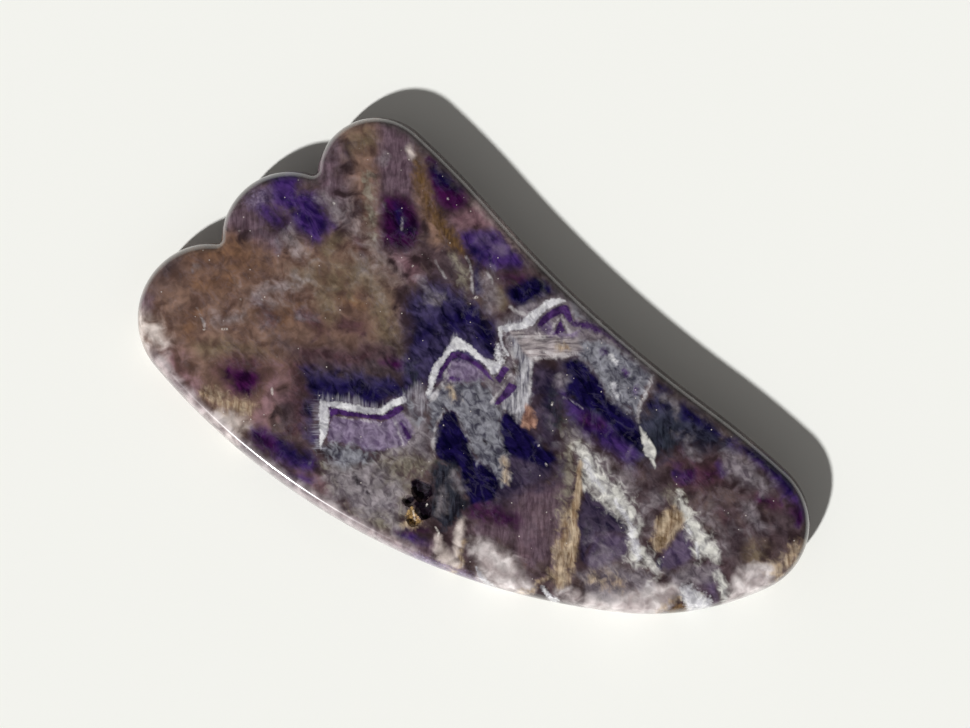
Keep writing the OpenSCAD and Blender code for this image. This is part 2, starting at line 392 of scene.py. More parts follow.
SHADE = Finish("shade", "#342a30", "#57494d", "stream", "cloud", 1.0, 0.85, None, [
    (1.96, [(-42.3, 18.8, 0.8), (-39.5, 20.6, 1.2)]),
    (0.7, [(-16.9, 37, 0.2), (-16.2, 35.4, 0.3), (-15.8, 34, 0.5)]),
    (1.68, [(-25, 10.6, 0.6), (-21, 8.6, 1), (-16, 7.6, 1), (-11.5, 7.6, 0.8)]),
    (1.12, [(-3, 21.4, 0.8), (-2.8, 18.6, 1)]),
    (1.4, [(23, -5.6), (25.6, -6), (26, -9), (24.6, -12), (23, -14), (22.2, -9)]),
    (1.4, [(28.4, 0), (32, -1.4), (34, -3.6), (32.4, -4.6), (29.4, -3.6)]),
    (1.12, [(32.4, -9.8), (34.6, -11.4), (36, -15), (36, -18.6), (34.4, -19), (33.4, -15)]),
    (1.12, [(39.6, -11.2), (42, -11.6), (43, -14), (41.4, -15.4), (39.6, -13.6)]),
    (1.12, [(-24.6, 3.4, 0.6), (-23.8, 0.5, 0.8)]),
    (1.6, [(-23.5, 10.4), (-9.5, 10.6), (-9, 5), (-16, 6), (-22.4, 6)]),
])
MAROON = Finish("maroon", "#341e25", "#573a42", "stream", "cloud", 1.0, 0.85, None, [
    (2.1, [(-23.4, 7, 1), (-22.4, 3, 1.2), (-22.6, -0.6, 1)]),
    (1.35, [(-33.6, 7, 0.6), (-31.5, 8.4, 0.6), (-28.6, 8.4, 0.7), (-26.8, 6.6, 0.7)]),
    (1.5, [(-22, 9.4, 0.6), (-17, 8.8, 0.7), (-11.5, 9, 0.6)]),
    (1.2, [(-28.2, 16, 0.5), (-26.8, 14, 0.8)]),
    (1.2, [(-21.8, 14.2, 0.8), (-20, 12.4, 0.9)]),
    (1.2, [(-17, 13, 0.9), (-14.8, 12.8, 0.8)]),
    (0.75, [(-15, 24.2, 0.5), (-14, 22.4, 0.4)]),
    (1.5, [(26.4, -5.4), (28.6, -5), (32.6, -4.8), (34, -7.4), (32, -8.4), (29.4, -8.8), (27.4, -8)]),
    (1.2, [(33, -11.8, 0.5), (33.6, -13, 0.6)]),
    (0.9, [(37.8, -9.8, 0.6), (40, -10.8, 0.6)]),
    (0.9, [(26.9, -2.4, 0.4), (27.9, -3.5, 0.7)]),
])
MAUVE = Finish("mauve", "#4b3944", "#725e69", "fibre", "cloud", 1.0, 0.85, None, [
    (1.82, [(-19, 36.4, 1.2), (-19.4, 33.5, 1.4), (-18.4, 30.8, 1.2)]),
    (1.04, [(-12, 39.8), (-9, 39.8), (-7.8, 36), (-7.8, 30), (-11.8, 30), (-12.4, 34)]),
    (1.56, [(-31.5, 27.2, 1), (-28.8, 26.4, 1.4), (-25.6, 23.6, 0.8)]),
    (1.3, [(-44, 17, 0.8), (-43, 15.3, 1)]),
    (1.3, [(-30.4, 28.6), (-29.6, 30.6), (-28, 31.8), (-26.6, 31), (-26, 29.2), (-26.8, 27.6),
           (-28.8, 27.6)]),
    (1.3, [(1, -13.8, 0.8), (4.6, -15, 0.9)]),
    (1.04, [(29.6, -18.4), (31.6, -18.2), (32.6, -20.6), (31.6, -22), (29.6, -21.4)]),
    (1.04, [(-9, -15.4, 0.7), (-5.5, -16, 0.8)]),
    (1.04, [(20.6, -5.2, 0.6), (21.6, -6.6, 0.5)]),
    (1.5, [(6, -8), (12, -7), (13, -14), (11, -18), (7.5, -20), (5.5, -17), (5.5, -13)]),
])
ROSE = Finish("rose", "#5c4049", "#8a6b71", "cloud", "cloud", 1.0, 0.85, None, [
    (1.82, [(-40.3, 9.5, 0.8), (-38, 6.4, 1), (-35.6, 3.4, 0.6)]),
    (1.82, [(-26, 5.6, 0.8), (-26.6, 3, 1.1), (-28, 0.8, 0.8)]),
    (0.91, [(-3.4, 27.6), (-0.8, 28.2), (0.4, 28.8), (2.4, 27.6), (4, 25.8), (0.4, 25.5), (-1.6, 25.4)]),
    (1.04, [(-23.4, -6.8, 0.3), (-21, -7.6, 0.6), (-19.6, -8.6, 0.5)]),
    (1.04, [(-9.6, 21.8, 0.7), (-7.6, 20.6, 1), (-7.4, 19, 0.6)]),
])
CREAM = Finish("cream", "#aa9b94", "#d6cac3", "cloud", "cloud", 0.8, 0.94, None, [
    (1.56, [(-44, 14, 0.6), (-42.2, 12, 1.3), (-41, 10.4, 0.8)]),
    (1.04, [(-34.4, 1), (-32, 1.5), (-30, 1), (-29.6, -0.4), (-30.4, -1.6), (-32, -1.4)]),
    (0.52, [(-1.2, -12.6, 0.3), (-1.5, -14.5, 0.5), (-2, -17.2, 0.3)]),
    (0.52, [(-8.2, 36.4, 0.3), (-7.6, 35.2, 0.3)]),
    (0.78, [(-4.4, -15, 0.4), (-3.4, -17.6, 0.8), (-2.2, -18.6, 0.5)]),
])
BLUSH = Finish("blush", "#a89b9a", "#ded6d4", "cloud", "cloud", 0.6, 0.95, None, [
    (1.08, [(0, -15.4), (2, -15.8), (5.2, -17.2), (6.4, -18.6), (7.2, -20.4), (8.2, -22.2), (4.4, -22.4),
            (2, -21), (0.8, -19.2)]),
    (0.72, [(15, -22.4), (18, -22), (20.4, -22.4), (22.4, -21.6), (23.4, -20.8), (25.6, -21.6),
            (27.2, -20.8), (27.6, -22.6), (26.4, -24), (25.4, -25.6), (20, -25.8), (15, -24.8)]),
    (0.96, [(12.2, -22.4, 0.6), (14, -22.8, 0.7)]),
    (0.84, [(35.6, -19.4), (37.6, -18.9), (39.8, -19), (40.6, -20.2), (39, -22), (36, -23.4), (34, -23.8),
            (34.4, -21.6)]),
])
STREAK = Finish("streak", "#5a5249", "#8e8779", "veil", "veil", 0.9, 0.8, None, [
    (0.75, [(-13.7, 33, 0.3), (-13.3, 29.5, 0.45), (-13.1, 26, 0.45), (-12.8, 23.5, 0.3)]),
    (0.75, [(-2, 21.8, 0.4), (-1.1, 20, 0.6), (-0.8, 17.6, 0.5)]),
    (0.9, [(-9.2, -3.8), (-7, -4), (-5, -4.6), (-4.5, -5.2), (-6.2, -6.2), (-8.8, -6.6), (-9.8, -5)]),
    (0.75, [(-7.4, -6.4, 0.3), (-8.6, -7.8, 0.4), (-9.4, -9.6, 0.3), (-9.6, -12, 0.4),
            (-9.8, -13.6, 0.4)]),
    (1.2, [(12.8, -3, 0.3), (12.8, -7, 0.5), (12.2, -12, 0.6)]),
    (1.2, [(12.4, -0.4, 0.5), (13.4, -2.4, 0.9), (14.6, -4, 0.8)]),
    (2.1, [(-18.6, -5.6), (-13, -5.4), (-10, -3.6), (-8, -4), (-9, -8), (-9.6, -13), (-12, -14.4),
           (-15, -12), (-17.6, -9)]),
    (1.05, [(26.6, -9, 0.4), (27.8, -10.2, 0.5), (28.4, -12, 0.3)]),
])
NIGHT = Finish("night", "#0f0c29", "#463e62", "stream", "cloud", 0.9, 0.96, None, [
    (1.44, [(-22, 6.8), (-16, 7), (-9.6, 5.6), (-8.4, 12), (-8.6, 16.6), (-5, 19), (-1, 16.8), (1.6, 15),
            (3.6, 12), (3.6, 8), (-6, 5), (-10, 2), (-20, 3)]),
    (0.96, [(-21.6, 3, 0.6), (-21.2, -2, 0.6)]),
])
VIOLET = Finish("violet", "#1a0a3e", "#452d68", "stream", "cloud", 0.8, 1, None, [
    (0.96, [(-28.4, 32.8), (-26, 33.8), (-22.4, 33.8), (-22.8, 31.6), (-22.4, 29.8), (-20.6, 29.4),
            (-19.8, 28.4), (-19.9, 27), (-21.8, 27.4), (-24.4, 28.2), (-26, 30), (-26.6, 31.8)]),
    (1.44, [(-27.6, 28.6, 0.7), (-25.4, 26.6, 1)]),
    (1.12, [(-21.2, 26.4, 0.7), (-20.4, 24.6, 0.7)]),
    (0.8, [(-18.6, 26.4, 0.3), (-18, 26, 0.3)]),
    (1.28, [(-28.4, -1.6, 0.7), (-26.4, -3.2, 1), (-23.4, -4.8, 1), (-21.4, -5.6, 0.7)]),
    (1.12, [(-1.2, 24.8), (0.4, 25.2), (3.6, 25), (5.6, 22.8), (7, 21.2), (5.6, 20.2), (3.6, 20.4),
            (1.4, 20.6), (0, 22.6)]),
    (1.12, [(12.3, 4), (15, 1.9), (17, 0.9), (19, -0.8), (21, -2.8), (22.2, -4), (21.6, -5.6),
            (19.4, -4.4), (17, -3), (14.8, -1), (13, 1.2)]),
    (1.12, [(34.8, -2.6), (37, -3.2), (41, -6.2), (43.6, -9.6), (44.4, -12.2), (43.2, -13), (43, -11),
            (41.4, -9.2), (39.4, -7.4), (37, -5)]),
    (0.96, [(-24, -6.9, 0.2), (-21.5, -7.6, 0.3)]),
    (0.8, [(-14, -3, 0.3), (-12.2, -3.1, 0.5), (-11.4, -2.8, 0.3)]),
    (0.64, [(-9.4, -14.8, 0.3), (-7.6, -15.2, 0.45), (-6, -15.4, 0.3)]),
    (0.96, [(27, -6.6, 0.4), (28.6, -6.8, 0.5)]),
    (0.8, [(32.6, -5.4, 0.3), (33.4, -6.8, 0.4)]),
    (1.0, [(-24.5, 30.5), (-21, 30.5), (-19, 28), (-18.6, 25.8), (-20.4, 24.2), (-23, 25.6)]),
])
PLUM = Finish("plum", "#1e0422", "#3f1040", "stream", "cloud", 0.7, 1, None, [
    (1.2, [(-33, 6), (-32.2, 7.4), (-30.6, 8), (-28.8, 7.6), (-27.4, 6.2), (-27.8, 4.6), (-29.4, 3.7),
           (-31.4, 4)]),
    (1.54, [(-28, -2.2, 0.5), (-26.4, -3.2, 0.7)]),
    (0.99, [(-11.4, 30), (-8.4, 29.8), (-7.6, 28.2), (-6.9, 26), (-7, 24), (-8.6, 22.9), (-11.4, 23.1),
            (-12, 24.6), (-12, 27.4)]),
    (0.88, [(-5.8, 35), (-4.4, 34.4), (-2.8, 32.8), (-1.4, 31), (-0.2, 29.4), (-0.6, 28.6), (-2.6, 28.1),
            (-3.8, 28.3), (-4.8, 30), (-5.4, 32.4)]),
    (1.32, [(4.8, 19, 0.6), (6.4, 18.8, 0.7)]),
    (0.88, [(-12, 8, 0.4), (-10, 7.8, 0.5)]),
    (1.1, [(38.4, -10.2, 0.4), (39.8, -10.7, 0.4)]),
    (1.32, [(42.8, -11.4, 0.6), (43.4, -12.4, 0.5)]),
    (1.54, [(15.2, 0.2, 0.5), (16.6, -0.4, 0.5)]),
    (1.32, [(4.6, -12.8, 0.5), (5.8, -13, 0.5)]),
    (1.1, [(-11.6, -10.8, 0.5), (-10.6, -11, 0.5)]),
    (0.66, [(-9.9, -14.4, 0.2), (-8, -14.2, 0.3), (-6, -14.2, 0.3)]),
    (0.55, [(-3.1, 1.5, 0.2), (-2.3, 1.4, 0.25)]),
    (1.6, [(28.6, -6.6, 0.2), (32, -6.6, 0.3)]),
    (1.3, [(0.4, -11.2, 0.7), (3, -12, 0.9), (5.4, -13, 0.6)]),
])
INK = Finish("ink", "#01001a", "#170f40", "stream", "cloud", 0.7, 1, None, [
    (1.62, [(-20.4, 5, 1.2), (-17, 4.8, 1.3), (-14, 4, 1.2), (-11.5, 3.4, 1.2), (-9.6, 4.8, 0.8)]),
    (1.62, [(-7, 11, 0.6), (-5.4, 12.4, 0.8)]),
    (1.62, [(-2.6, 14, 1.6), (0, 14.4, 1.4), (1.6, 12, 1.4), (2.8, 10.2, 0.7)]),
    (0.9, [(-4.6, 33.4, 0.6), (-3.2, 32, 0.9), (-2.2, 31.2, 0.6)]),
    (1.08, [(-9.8, 28.6, 0.5), (-9.4, 25.6, 0.6), (-7.8, 25.6, 0.3)]),
    (0.72, [(0.4, 22.8, 0.6), (1.4, 22.4, 0.5), (0.6, 20, 0.3), (0.9, 17.6, 0.5)]),
    (0.63, [(4.4, 17.6), (6, 18.4), (8.6, 19.4), (10, 18.6), (11.4, 17.4), (10, 16.6), (8.6, 15.9),
            (7.4, 15), (6, 15.3), (5, 16.1)]),
    (0.27, [(-3.4, 1.5), (-2.2, 1.5), (-1.8, 0.8), (-1.5, -0.4), (-0.4, -2), (0.2, -3.4), (0.7, -5.2),
            (2, -5.7), (3.5, -6.9), (3.7, -8.2), (3, -10), (0, -10.8), (-1.4, -8), (-1.6, -6), (-4.2, -5),
            (-4.8, -3.6), (-4.8, -1.6), (-4.1, 0.4)]),
    (0.36, [(4.4, 1.4), (5.7, 1.2), (6.1, 0.2), (6.9, -0.8), (8.6, -1.8), (9.4, -2.8), (10.8, -3.8),
            (11.4, -5), (9.6, -6), (7.6, -5), (5.6, -4.4), (4.5, -4), (4, -2.2), (3.5, -0.6)]),
    (0.45, [(12.4, 8.2), (14, 8.6), (15.2, 7.7), (16.2, 6.5), (17.2, 5.2), (18, 4), (18.5, 2.8),
            (19.6, 1.9), (20.2, 1.2), (21.4, 0.6), (22.2, -0.6), (22.7, -2.4), (22, -3.4), (20.6, -2.4),
            (19, -0.6), (17, 1.2), (15, 2.2), (13, 3.8), (12.5, 5)]),
    (0.9, [(23.8, 2.4, 0.5), (25.2, 2.2, 0.6)]),
    (0.72, [(24.8, 5, 0.4), (26.4, 4.2, 0.3)]),
    (0.63, [(27.6, 2.8), (29.6, 1.5), (32, -0.4), (34.2, -2.2), (32.4, -1.6), (31, -0.7), (29.4, 0),
            (27.8, 0.4)]),
    (0.9, [(36.4, -3.6, 0.3), (39, -5, 0.5), (41.4, -7.2, 0.6), (42.4, -8.6, 0.3)]),
    (1.08, [(-25, -3, 0.5), (-23.6, -4.2, 0.7), (-22, -4.6, 0.6)]),
    (0.54, [(-15.4, -7, 0.2), (-15, -7.8, 0.4)]),
    (0.36, [(24.4, -18.3), (25, -17.5), (25.4, -18.5), (25.1, -19.7), (24.6, -19.3)]),
    (0.54, [(1.8, -2.6, 0.25), (2, -2.8, 0.2)]),
    (0.54, [(-13.7, -9, 0.2), (-13.4, -9.3, 0.15)]),
])
MOSS = Finish("moss", "#070914", "#30343f", "fibre", "veil", 0.9, 0.95, None, [
    (0.66, [(-4.6, -5.2), (-1.8, -5.8), (-1.4, -8), (-0.6, -10.6), (-1.6, -12.4), (-2.8, -13.4),
            (-4, -13.9), (-5.2, -12), (-5.2, -10), (-5.6, -8), (-5.4, -6.4)]),
    (1.32, [(24.4, 0.2), (27, -0.2), (27, -2), (26.4, -4), (24.8, -3.2), (23.6, -1.2)]),
    (1.54, [(11, 3.2, 0.4), (11.2, 0.4, 0.5)]),
    (1.54, [(10.4, 18.4, 0.5), (12, 17.2, 0.4)]),
    (1.32, [(-8, 7.6, 0.4), (-7, 4.6, 0.5), (-6.6, 2.4, 0.3)]),
])
SLATE = Finish("slate", "#0d0e1e", "#3a3c4e", "stream", "cloud", 0.9, 0.96, None, [
    (1.68, [(12, 8.6), (22, 0.6), (25, 4.6), (28, 2.6), (36, -3.2), (33, -3.4), (26, -3.4), (22, -5.4),
            (13, 0)]),
])
GLOOM = Finish("gloom", "#17122a", "#443a4e", "stream", "cloud", 0.9, 0.94, None, [
    (1.8, [(8, 8), (12.5, 7.8), (12.6, 4.4), (11.6, 1), (11.8, -3.4), (10, -4.4), (8.6, -1.6), (8.2, 3)]),
    (0.36, [(15.1, -8.8), (16, -9.6), (17.3, -10.4), (18.4, -11.4), (19.5, -12.2), (20.2, -13.2),
            (20.9, -13.9), (20.6, -14.8), (18, -14.4), (16.6, -14.6), (15.6, -16), (15, -18.6),
            (14.4, -18.2), (14.25, -15), (14.5, -11)]),
    (1.68, [(4, 1.6), (7.6, -0.6), (12, -5), (11, -8), (6, -9.4), (4, -11.6), (-0.4, -11), (-1, -5),
            (3.6, -4)]),
])
DUSK = Finish("dusk", "#3a2e49", "#665870", "stream", "cloud", 0.8, 0.92, None, [
    (0.8, [(16, -14.6), (18, -14.4), (20.9, -14.6), (21, -16.8), (20.4, -17.8), (18.4, -18.2),
           (16.4, -19), (15.2, -18.8), (15.4, -16.4)]),
    (0.5, [(28.1, -13.8), (29, -14.9), (29.3, -16.2), (29.2, -17.6), (28.4, -18.6), (27, -19.2),
           (26, -19.6), (25.3, -18.8), (25.1, -17.8), (25.8, -16.8), (26.8, -15.4)]),
    (1, [(31.2, -20.6, 0.5), (32.2, -22.8, 0.7)]),
    (1.2, [(1.4, 24, 0.3), (4, 23, 0.5)]),
    (1.4, [(-29, 29.4, 0.6), (-27.8, 30.2, 0.6)]),
])
MIST = Finish("mist", "#544c54", "#8d858a", "veil", "cloud", 0.9, 0.85, None, [
    (1.3, [(33.2, -4.4), (35.4, -4.4), (38.4, -6.6), (40, -8.4), (39, -9.2), (36, -8.4), (34, -7.4)]),
    (1.04, [(35.8, -11), (36.8, -10.8), (39, -13.6), (39.2, -14.8), (37.4, -14)]),
    (1.2, [(-9, 3), (-6.4, 4.6), (-5.6, 3), (-5.4, -1), (-5.2, -4.5), (-9, -4), (-12, -4), (-8, -1)]),
    (1.8, [(-19, -5.4), (-13, -5.4), (-10.6, -6), (-10, -8), (-11, -13), (-14.5, -12.5), (-18, -9)]),
    (0.9, [(3.6, 13), (8, 16.4), (12.6, 16.8), (16, 14.6), (24, 7), (24, 4.6), (14, 9), (8, 8.6),
           (5, 9)]),
    (1.28, [(14.6, -20.2), (17, -19.6), (22.8, -18.8), (24.4, -20.6), (22, -22), (18, -23), (15, -22.4)]),
    (0.6, [(1.4, 7), (4.4, 8), (5.4, 9), (6, 5), (4, 3), (2.4, 3.6)]),
    (0.8, [(24.6, -19.6), (27, -19.4), (29.6, -18.4), (32, -18.6), (33, -20.6), (30, -21.4), (27, -21)]),
])
HAZE = Finish("haze", "#5e565b", "#a39b9f", "veil", "cloud", 1.2, 0.55, None, [
    (1.28, [(-28.4, 17.2, 0.5), (-26.6, 18, 0.8), (-24.4, 18.2, 0.7)]),
    (1.12, [(-33.2, 13.8, 0.6), (-31, 14, 0.5)]),
    (0.64, [(-36.6, 21.1, 0.2), (-35.8, 21.1, 0.2)]),
    (0.64, [(-33.7, 21, 0.2)]),
    (1.12, [(-20, 29.6, 0.4), (-18.4, 29.4, 0.6), (-17.6, 28.2, 0.4)]),
    (1.28, [(-24.4, 25, 0.7), (-23.2, 23, 0.8), (-22.4, 21.4, 0.4)]),
    (0.8, [(-11.6, 34.6, 0.3), (-11.2, 35.2, 0.3)]),
    (1.12, [(-6.6, 18.6, 0.4), (-5, 16.6, 0.6)]),
    (1.28, [(1.8, 19.6, 0.5), (2.5, 17, 0.6), (2.4, 15, 0.4)]),
    (0.64, [(25.8, 3.4, 0.3), (26.7, 3.2, 0.3), (27.2, 2.2, 0.3), (26.9, 0.8, 0.3)]),
    (0.96, [(27.6, -1.8, 0.2), (28.8, -2.9, 0.35), (30.4, -4.8, 0.15)]),
    (0.8, [(11.4, 6.2, 0.3), (12.4, 6, 0.3), (11.8, 5.2, 0.2)]),
    (1.28, [(-9.4, -2.2, 0.8), (-7.2, -1.6, 0.8), (-6.2, -0.4, 0.4)]),
    (1.28, [(-17.6, -6.4, 0.4), (-12.6, -6.4, 0.9)]),
    (1.28, [(-17, -9.6, 0.3), (-13.4, -10.6, 0.8), (-10.6, -8.8, 0.8), (-10.4, -12.8, 0.8)]),
    (1.44, [(13.2, -1.6, 0.5), (15, -3.4, 1), (18, -6, 1.4), (20.4, -8.4, 1)]),
    (0.8, [(-3.9, -9, 0.1), (-4.2, -11.6, 0.15)]),
    (0.8, [(-2.2, -6.8, 0.3), (-1, -9, 0.15)]),
    (1.28, [(14.2, 15.8, 0.4), (15, 14.2, 0.7), (18, 13, 0.3)]),
    (1.12, [(17, -16, 0.4), (18.4, -16.6, 0.5)]),
    (3.84, [(-17, -7, 0), (-12, -7.5, 0), (-10, -11, 0)]),
    (3.2, [(17, -16, 0), (19, -17.5, 0)]),
    (2.56, [(23, -13, 0), (24, -10, 0)]),
    (3.2, [(31, -12, 0), (33, -16, 0)]),
    (3.2, [(12, -2, 0), (16, -4, 0), (20, -7, 0)]),
    (4.16, [(-28, 16, 0), (-22, 18, 0)]),
    (4.16, [(-12, 20, 0), (-16, 28, 0)]),
    (0.64, [(12.8, 16.6), (14.5, 15), (17, 14), (20, 12.2), (22.5, 10), (19, 12), (14, 13.4),
            (13.6, 14.6)]),
])
LILAC = Finish("lilac", "#5a4b66", "#8f8199", "veil", "grain", 0.7, 0.95, None, [
    (0.3, [(-18.6, 0.9), (-15, 0.7), (-11.9, 0.1), (-10.5, 0.8), (-9.2, 1.6), (-8, 0), (-7.6, -1.6),
           (-8.8, -3), (-11, -3.2), (-13, -3.7), (-14.5, -3.1), (-18.8, -2.4), (-19, -1)]),
    (0.4, [(-3, 7.9), (-2.3, 8.5), (-0.7, 8.2), (0.3, 7.6), (1.3, 6.7), (2, 6), (1, 5.4), (-1.5, 5.4),
           (-3.4, 5.6)]),
    (0.4, [(9, 12.8), (10.4, 13.4), (11.2, 12), (13, 12), (14.4, 12.2), (14, 11.4), (10.4, 11.4)]),
    (0.5, [(-13, -15.2, 0.2), (-9, -16.9, 0.5), (-5, -18.6, 0.5), (-2, -19.8, 0.5), (1, -20.7, 0.2)]),
    (1.4, [(-28.6, 29.6, 0.5)]),
])
MILK = Finish("milk", "#3a3946", "#8f8f97", "veil", "veil", 0.9, 0.96, None, [
    (0.85, [(-20, -3.2), (-18, -2.8), (-15.4, -3), (-13.8, -3.8), (-12.8, -4.6), (-14, -5.4), (-17, -5.8),
            (-18.6, -5.2)]),
    (0.51, [(-5.6, 3.4), (-3.4, 5.6), (1.2, 5.6), (2.6, 4.6), (3.4, 2), (4.2, 1.4), (3.5, -0.6),
            (3.9, -2), (4.6, -4), (4.9, -6), (5.3, -7.3), (4, -8.4), (3.5, -6.6), (2.1, -5.6),
            (0.8, -5.2), (0.3, -3.4), (-0.3, -2), (-1.4, -0.2), (-1.9, 1.2), (-3.3, 1.7), (-4.2, 0.4),
            (-4.9, -2), (-5.4, -1)]),
    (0.59, [(12.8, 9.6), (15, 10.8), (17.5, 10.8), (19.5, 9.8), (21.4, 8.6), (23, 7.4), (24.2, 6.4),
            (23.2, 4.6), (22.2, 2.4), (21.9, 0.9), (21.2, 1.5), (20.3, 1.8), (19.6, 2), (18.6, 3),
            (18.1, 4.2), (17.4, 5.1), (16.4, 6.5), (15.4, 7.8), (14.4, 8.7)]),
    (0.85, [(-9, 3.5, 0.2), (-7.9, 2, 0.4), (-6.8, 0.4, 0.4)]),
    (0.68, [(13.4, 16.2, 0.3), (14.2, 14.4, 0.3), (15.6, 13.4, 0.2)]),
])
VEIN = Finish("vein", "#a5a4a3", "#e0ded6", "veil", "veil", 0.8, 0.95, None, [
    (1.1, [(14.2, -3.2), (16.4, -4.4), (16.8, -6.2), (18.6, -8), (20.2, -9.4), (21.4, -10.8), (22, -13),
           (22.1, -16.3), (23.6, -17.6), (24.3, -18.8), (24.5, -20), (23.9, -19.4), (23.2, -18.4),
           (22.2, -17.7), (21.8, -18.6), (21.2, -17.4), (21.1, -14), (20.2, -13), (19.4, -12),
           (18, -10.8), (16.6, -9.5), (15.3, -8.4), (14.9, -6)]),
    (0.8, [(27.4, -9.2), (28.4, -10.8), (29.2, -12), (30.6, -13.8), (31.6, -15.4), (32.6, -16.8),
           (32.9, -18.4), (31.4, -17.6), (30.3, -17.4), (30, -18.1), (29.5, -17.5), (29.4, -15.6),
           (28.9, -14.8), (28.3, -13.6)]),
    (0.52, [(32.5, -19.8, 0.3), (33.2, -21.4, 0.45), (33.8, -23, 0.4)]),
    (0.2, [(22.2, -0.2), (22.6, -0.8), (23.4, -1.8), (24.2, -3), (24.4, -4.2), (24.3, -6), (23.8, -5.2),
           (23.1, -4.3), (22.8, -2.6), (22.4, -1.4)]),
    (0.52, [(27.6, -21.6), (28.6, -22.4), (30, -22.2), (31, -23.2), (31.3, -24.6), (29.4, -24.8),
            (28.2, -23.8)]),
])
GAUZE = Finish("gauze", "#5c5a66", "#c4c2c6", "fibre", "veil", 0.8, 0.94, None, [
    (0.4, [(3.6, 2), (5, 4.6), (6, 5), (6.2, 8), (5.4, 9.6), (5, 11.6), (6.4, 11.6), (7.2, 9.4), (8, 8.5),
           (7.8, 6), (7.9, 3.6), (7, 1), (6.4, 0), (6, 1)]),
])
LEDGE = Finish("ledge", "#544b51", "#b3a9a9", "shelf", "veil", 0.8, 0.92, None, [
    (0.4, [(5, 12), (7, 12), (9.4, 11.8), (14, 11), (15, 9.6), (13.6, 9), (12, 8.8), (8, 8.5),
           (6.6, 9.4)]),
])
OCHRE = Finish("ochre", "#80684f", "#ccb89d", "fibre", "veil", 0.9, 0.88, None, [
    (1.28, [(-35, 3.6, 0.5), (-32, 2.7, 0.7), (-29.6, 2.3, 0.6)]),
    (0.3, [(14.4, -5, 0.2), (14.2, -8.4, 0.4), (13.7, -12, 0.55), (13.4, -16, 0.65), (13, -18.6, 0.6)]),
    (0.96, [(12.8, -11, 0.3), (12.2, -17, 0.9), (11.8, -20.6, 1.1)]),
    (0.56, [(25.9, -11.4), (27, -11), (27.9, -11.8), (28.1, -13), (27.6, -14.1), (26.6, -15.2),
            (25.6, -16.5), (24.6, -16.8), (23.9, -15.8), (24.3, -14), (25, -12.4)]),
    (0.64, [(-8.8, -13.2, 0.3), (-7.6, -13.6, 0.3), (-6.8, -13.4, 0.2)]),
    (0.48, [(-0.8, -15.4, 0.1), (-1.6, -17.2, 0.12), (-1.3, -18.5, 0.12), (-2.4, -19.4, 0.12),
            (-4, -19.5, 0.1)]),
    (0.64, [(24.6, -25.2, 0.15), (25.5, -24.3, 0.2), (26.8, -23.5, 0.2), (27.8, -23, 0.12)]),
    (0.4, [(8.4, -21.3, 0.1), (8.8, -20.7, 0.12), (10, -20.6, 0.1)]),
    (0.4, [(6.4, -22, 0.1), (8, -22.4, 0.12), (8.9, -21.6, 0.1)]),
    (1.28, [(40.4, -19.4, 0.7), (42.4, -18, 0.8), (44, -16.2, 0.5)]),
    (0.64, [(4.1, -4.8, 0.25), (4.7, -6, 0.2), (4.6, -7.4, 0.3)]),
    (0.64, [(11.6, 10.2, 0.3), (12.6, 9.9, 0.25)]),
    (0.8, [(-2.8, 4.8, 0.3), (-2, 3.3, 0.3)]),
    (1.6, [(16.5, -20.8, 0), (19.5, -21.2, 0)]),
])
CORAL = Finish("coral", "#6a493d", "#b58c79", "veil", "veil", 0.9, 0.9, None, [
    (0.32, [(7.3, 2.4), (8, 2), (8.6, 0.2), (8.5, -0.4), (7.6, -0.8), (6.7, -0.3), (7, 1)]),
])
GOLD = Finish("gold", "#3e2c1b", "#6c5233", "fibre", "veil", 0.9, 0.9, None, [
    (0.9, [(-7.3, 34.6, 0.4), (-6.7, 32.5, 0.6), (-6, 30.2, 0.6), (-5, 27.6, 0.7), (-3.6, 25.4, 0.8),
           (-2, 23.6, 0.5), (-1.2, 22.6, 0.3)]),
    (1.35, [(25.2, -15.4, 0.2), (26.9, -12.4, 0.3)]),
    (0.35, [(25.4, -25.8), (26.4, -24.4), (27.6, -24), (28.8, -24.4), (29.8, -25.6)]),
])
# Golden-brown crystals in the pocket, their bright gold partly a painted reflection of the lamp
AMBER_AND_PAINTED_SPARKLE = Finish("amber_and_painted_sparkle", "#3f2814", "#c2a06a", "grain", "grain", 0.8, 0.95, None, [
    (0.25, [(-8.6, -12.2), (-8, -11.1), (-7.4, -11.6), (-6.9, -12.6), (-6.5, -13.2), (-7.2, -13.5),
            (-8.2, -13.2)]),
])
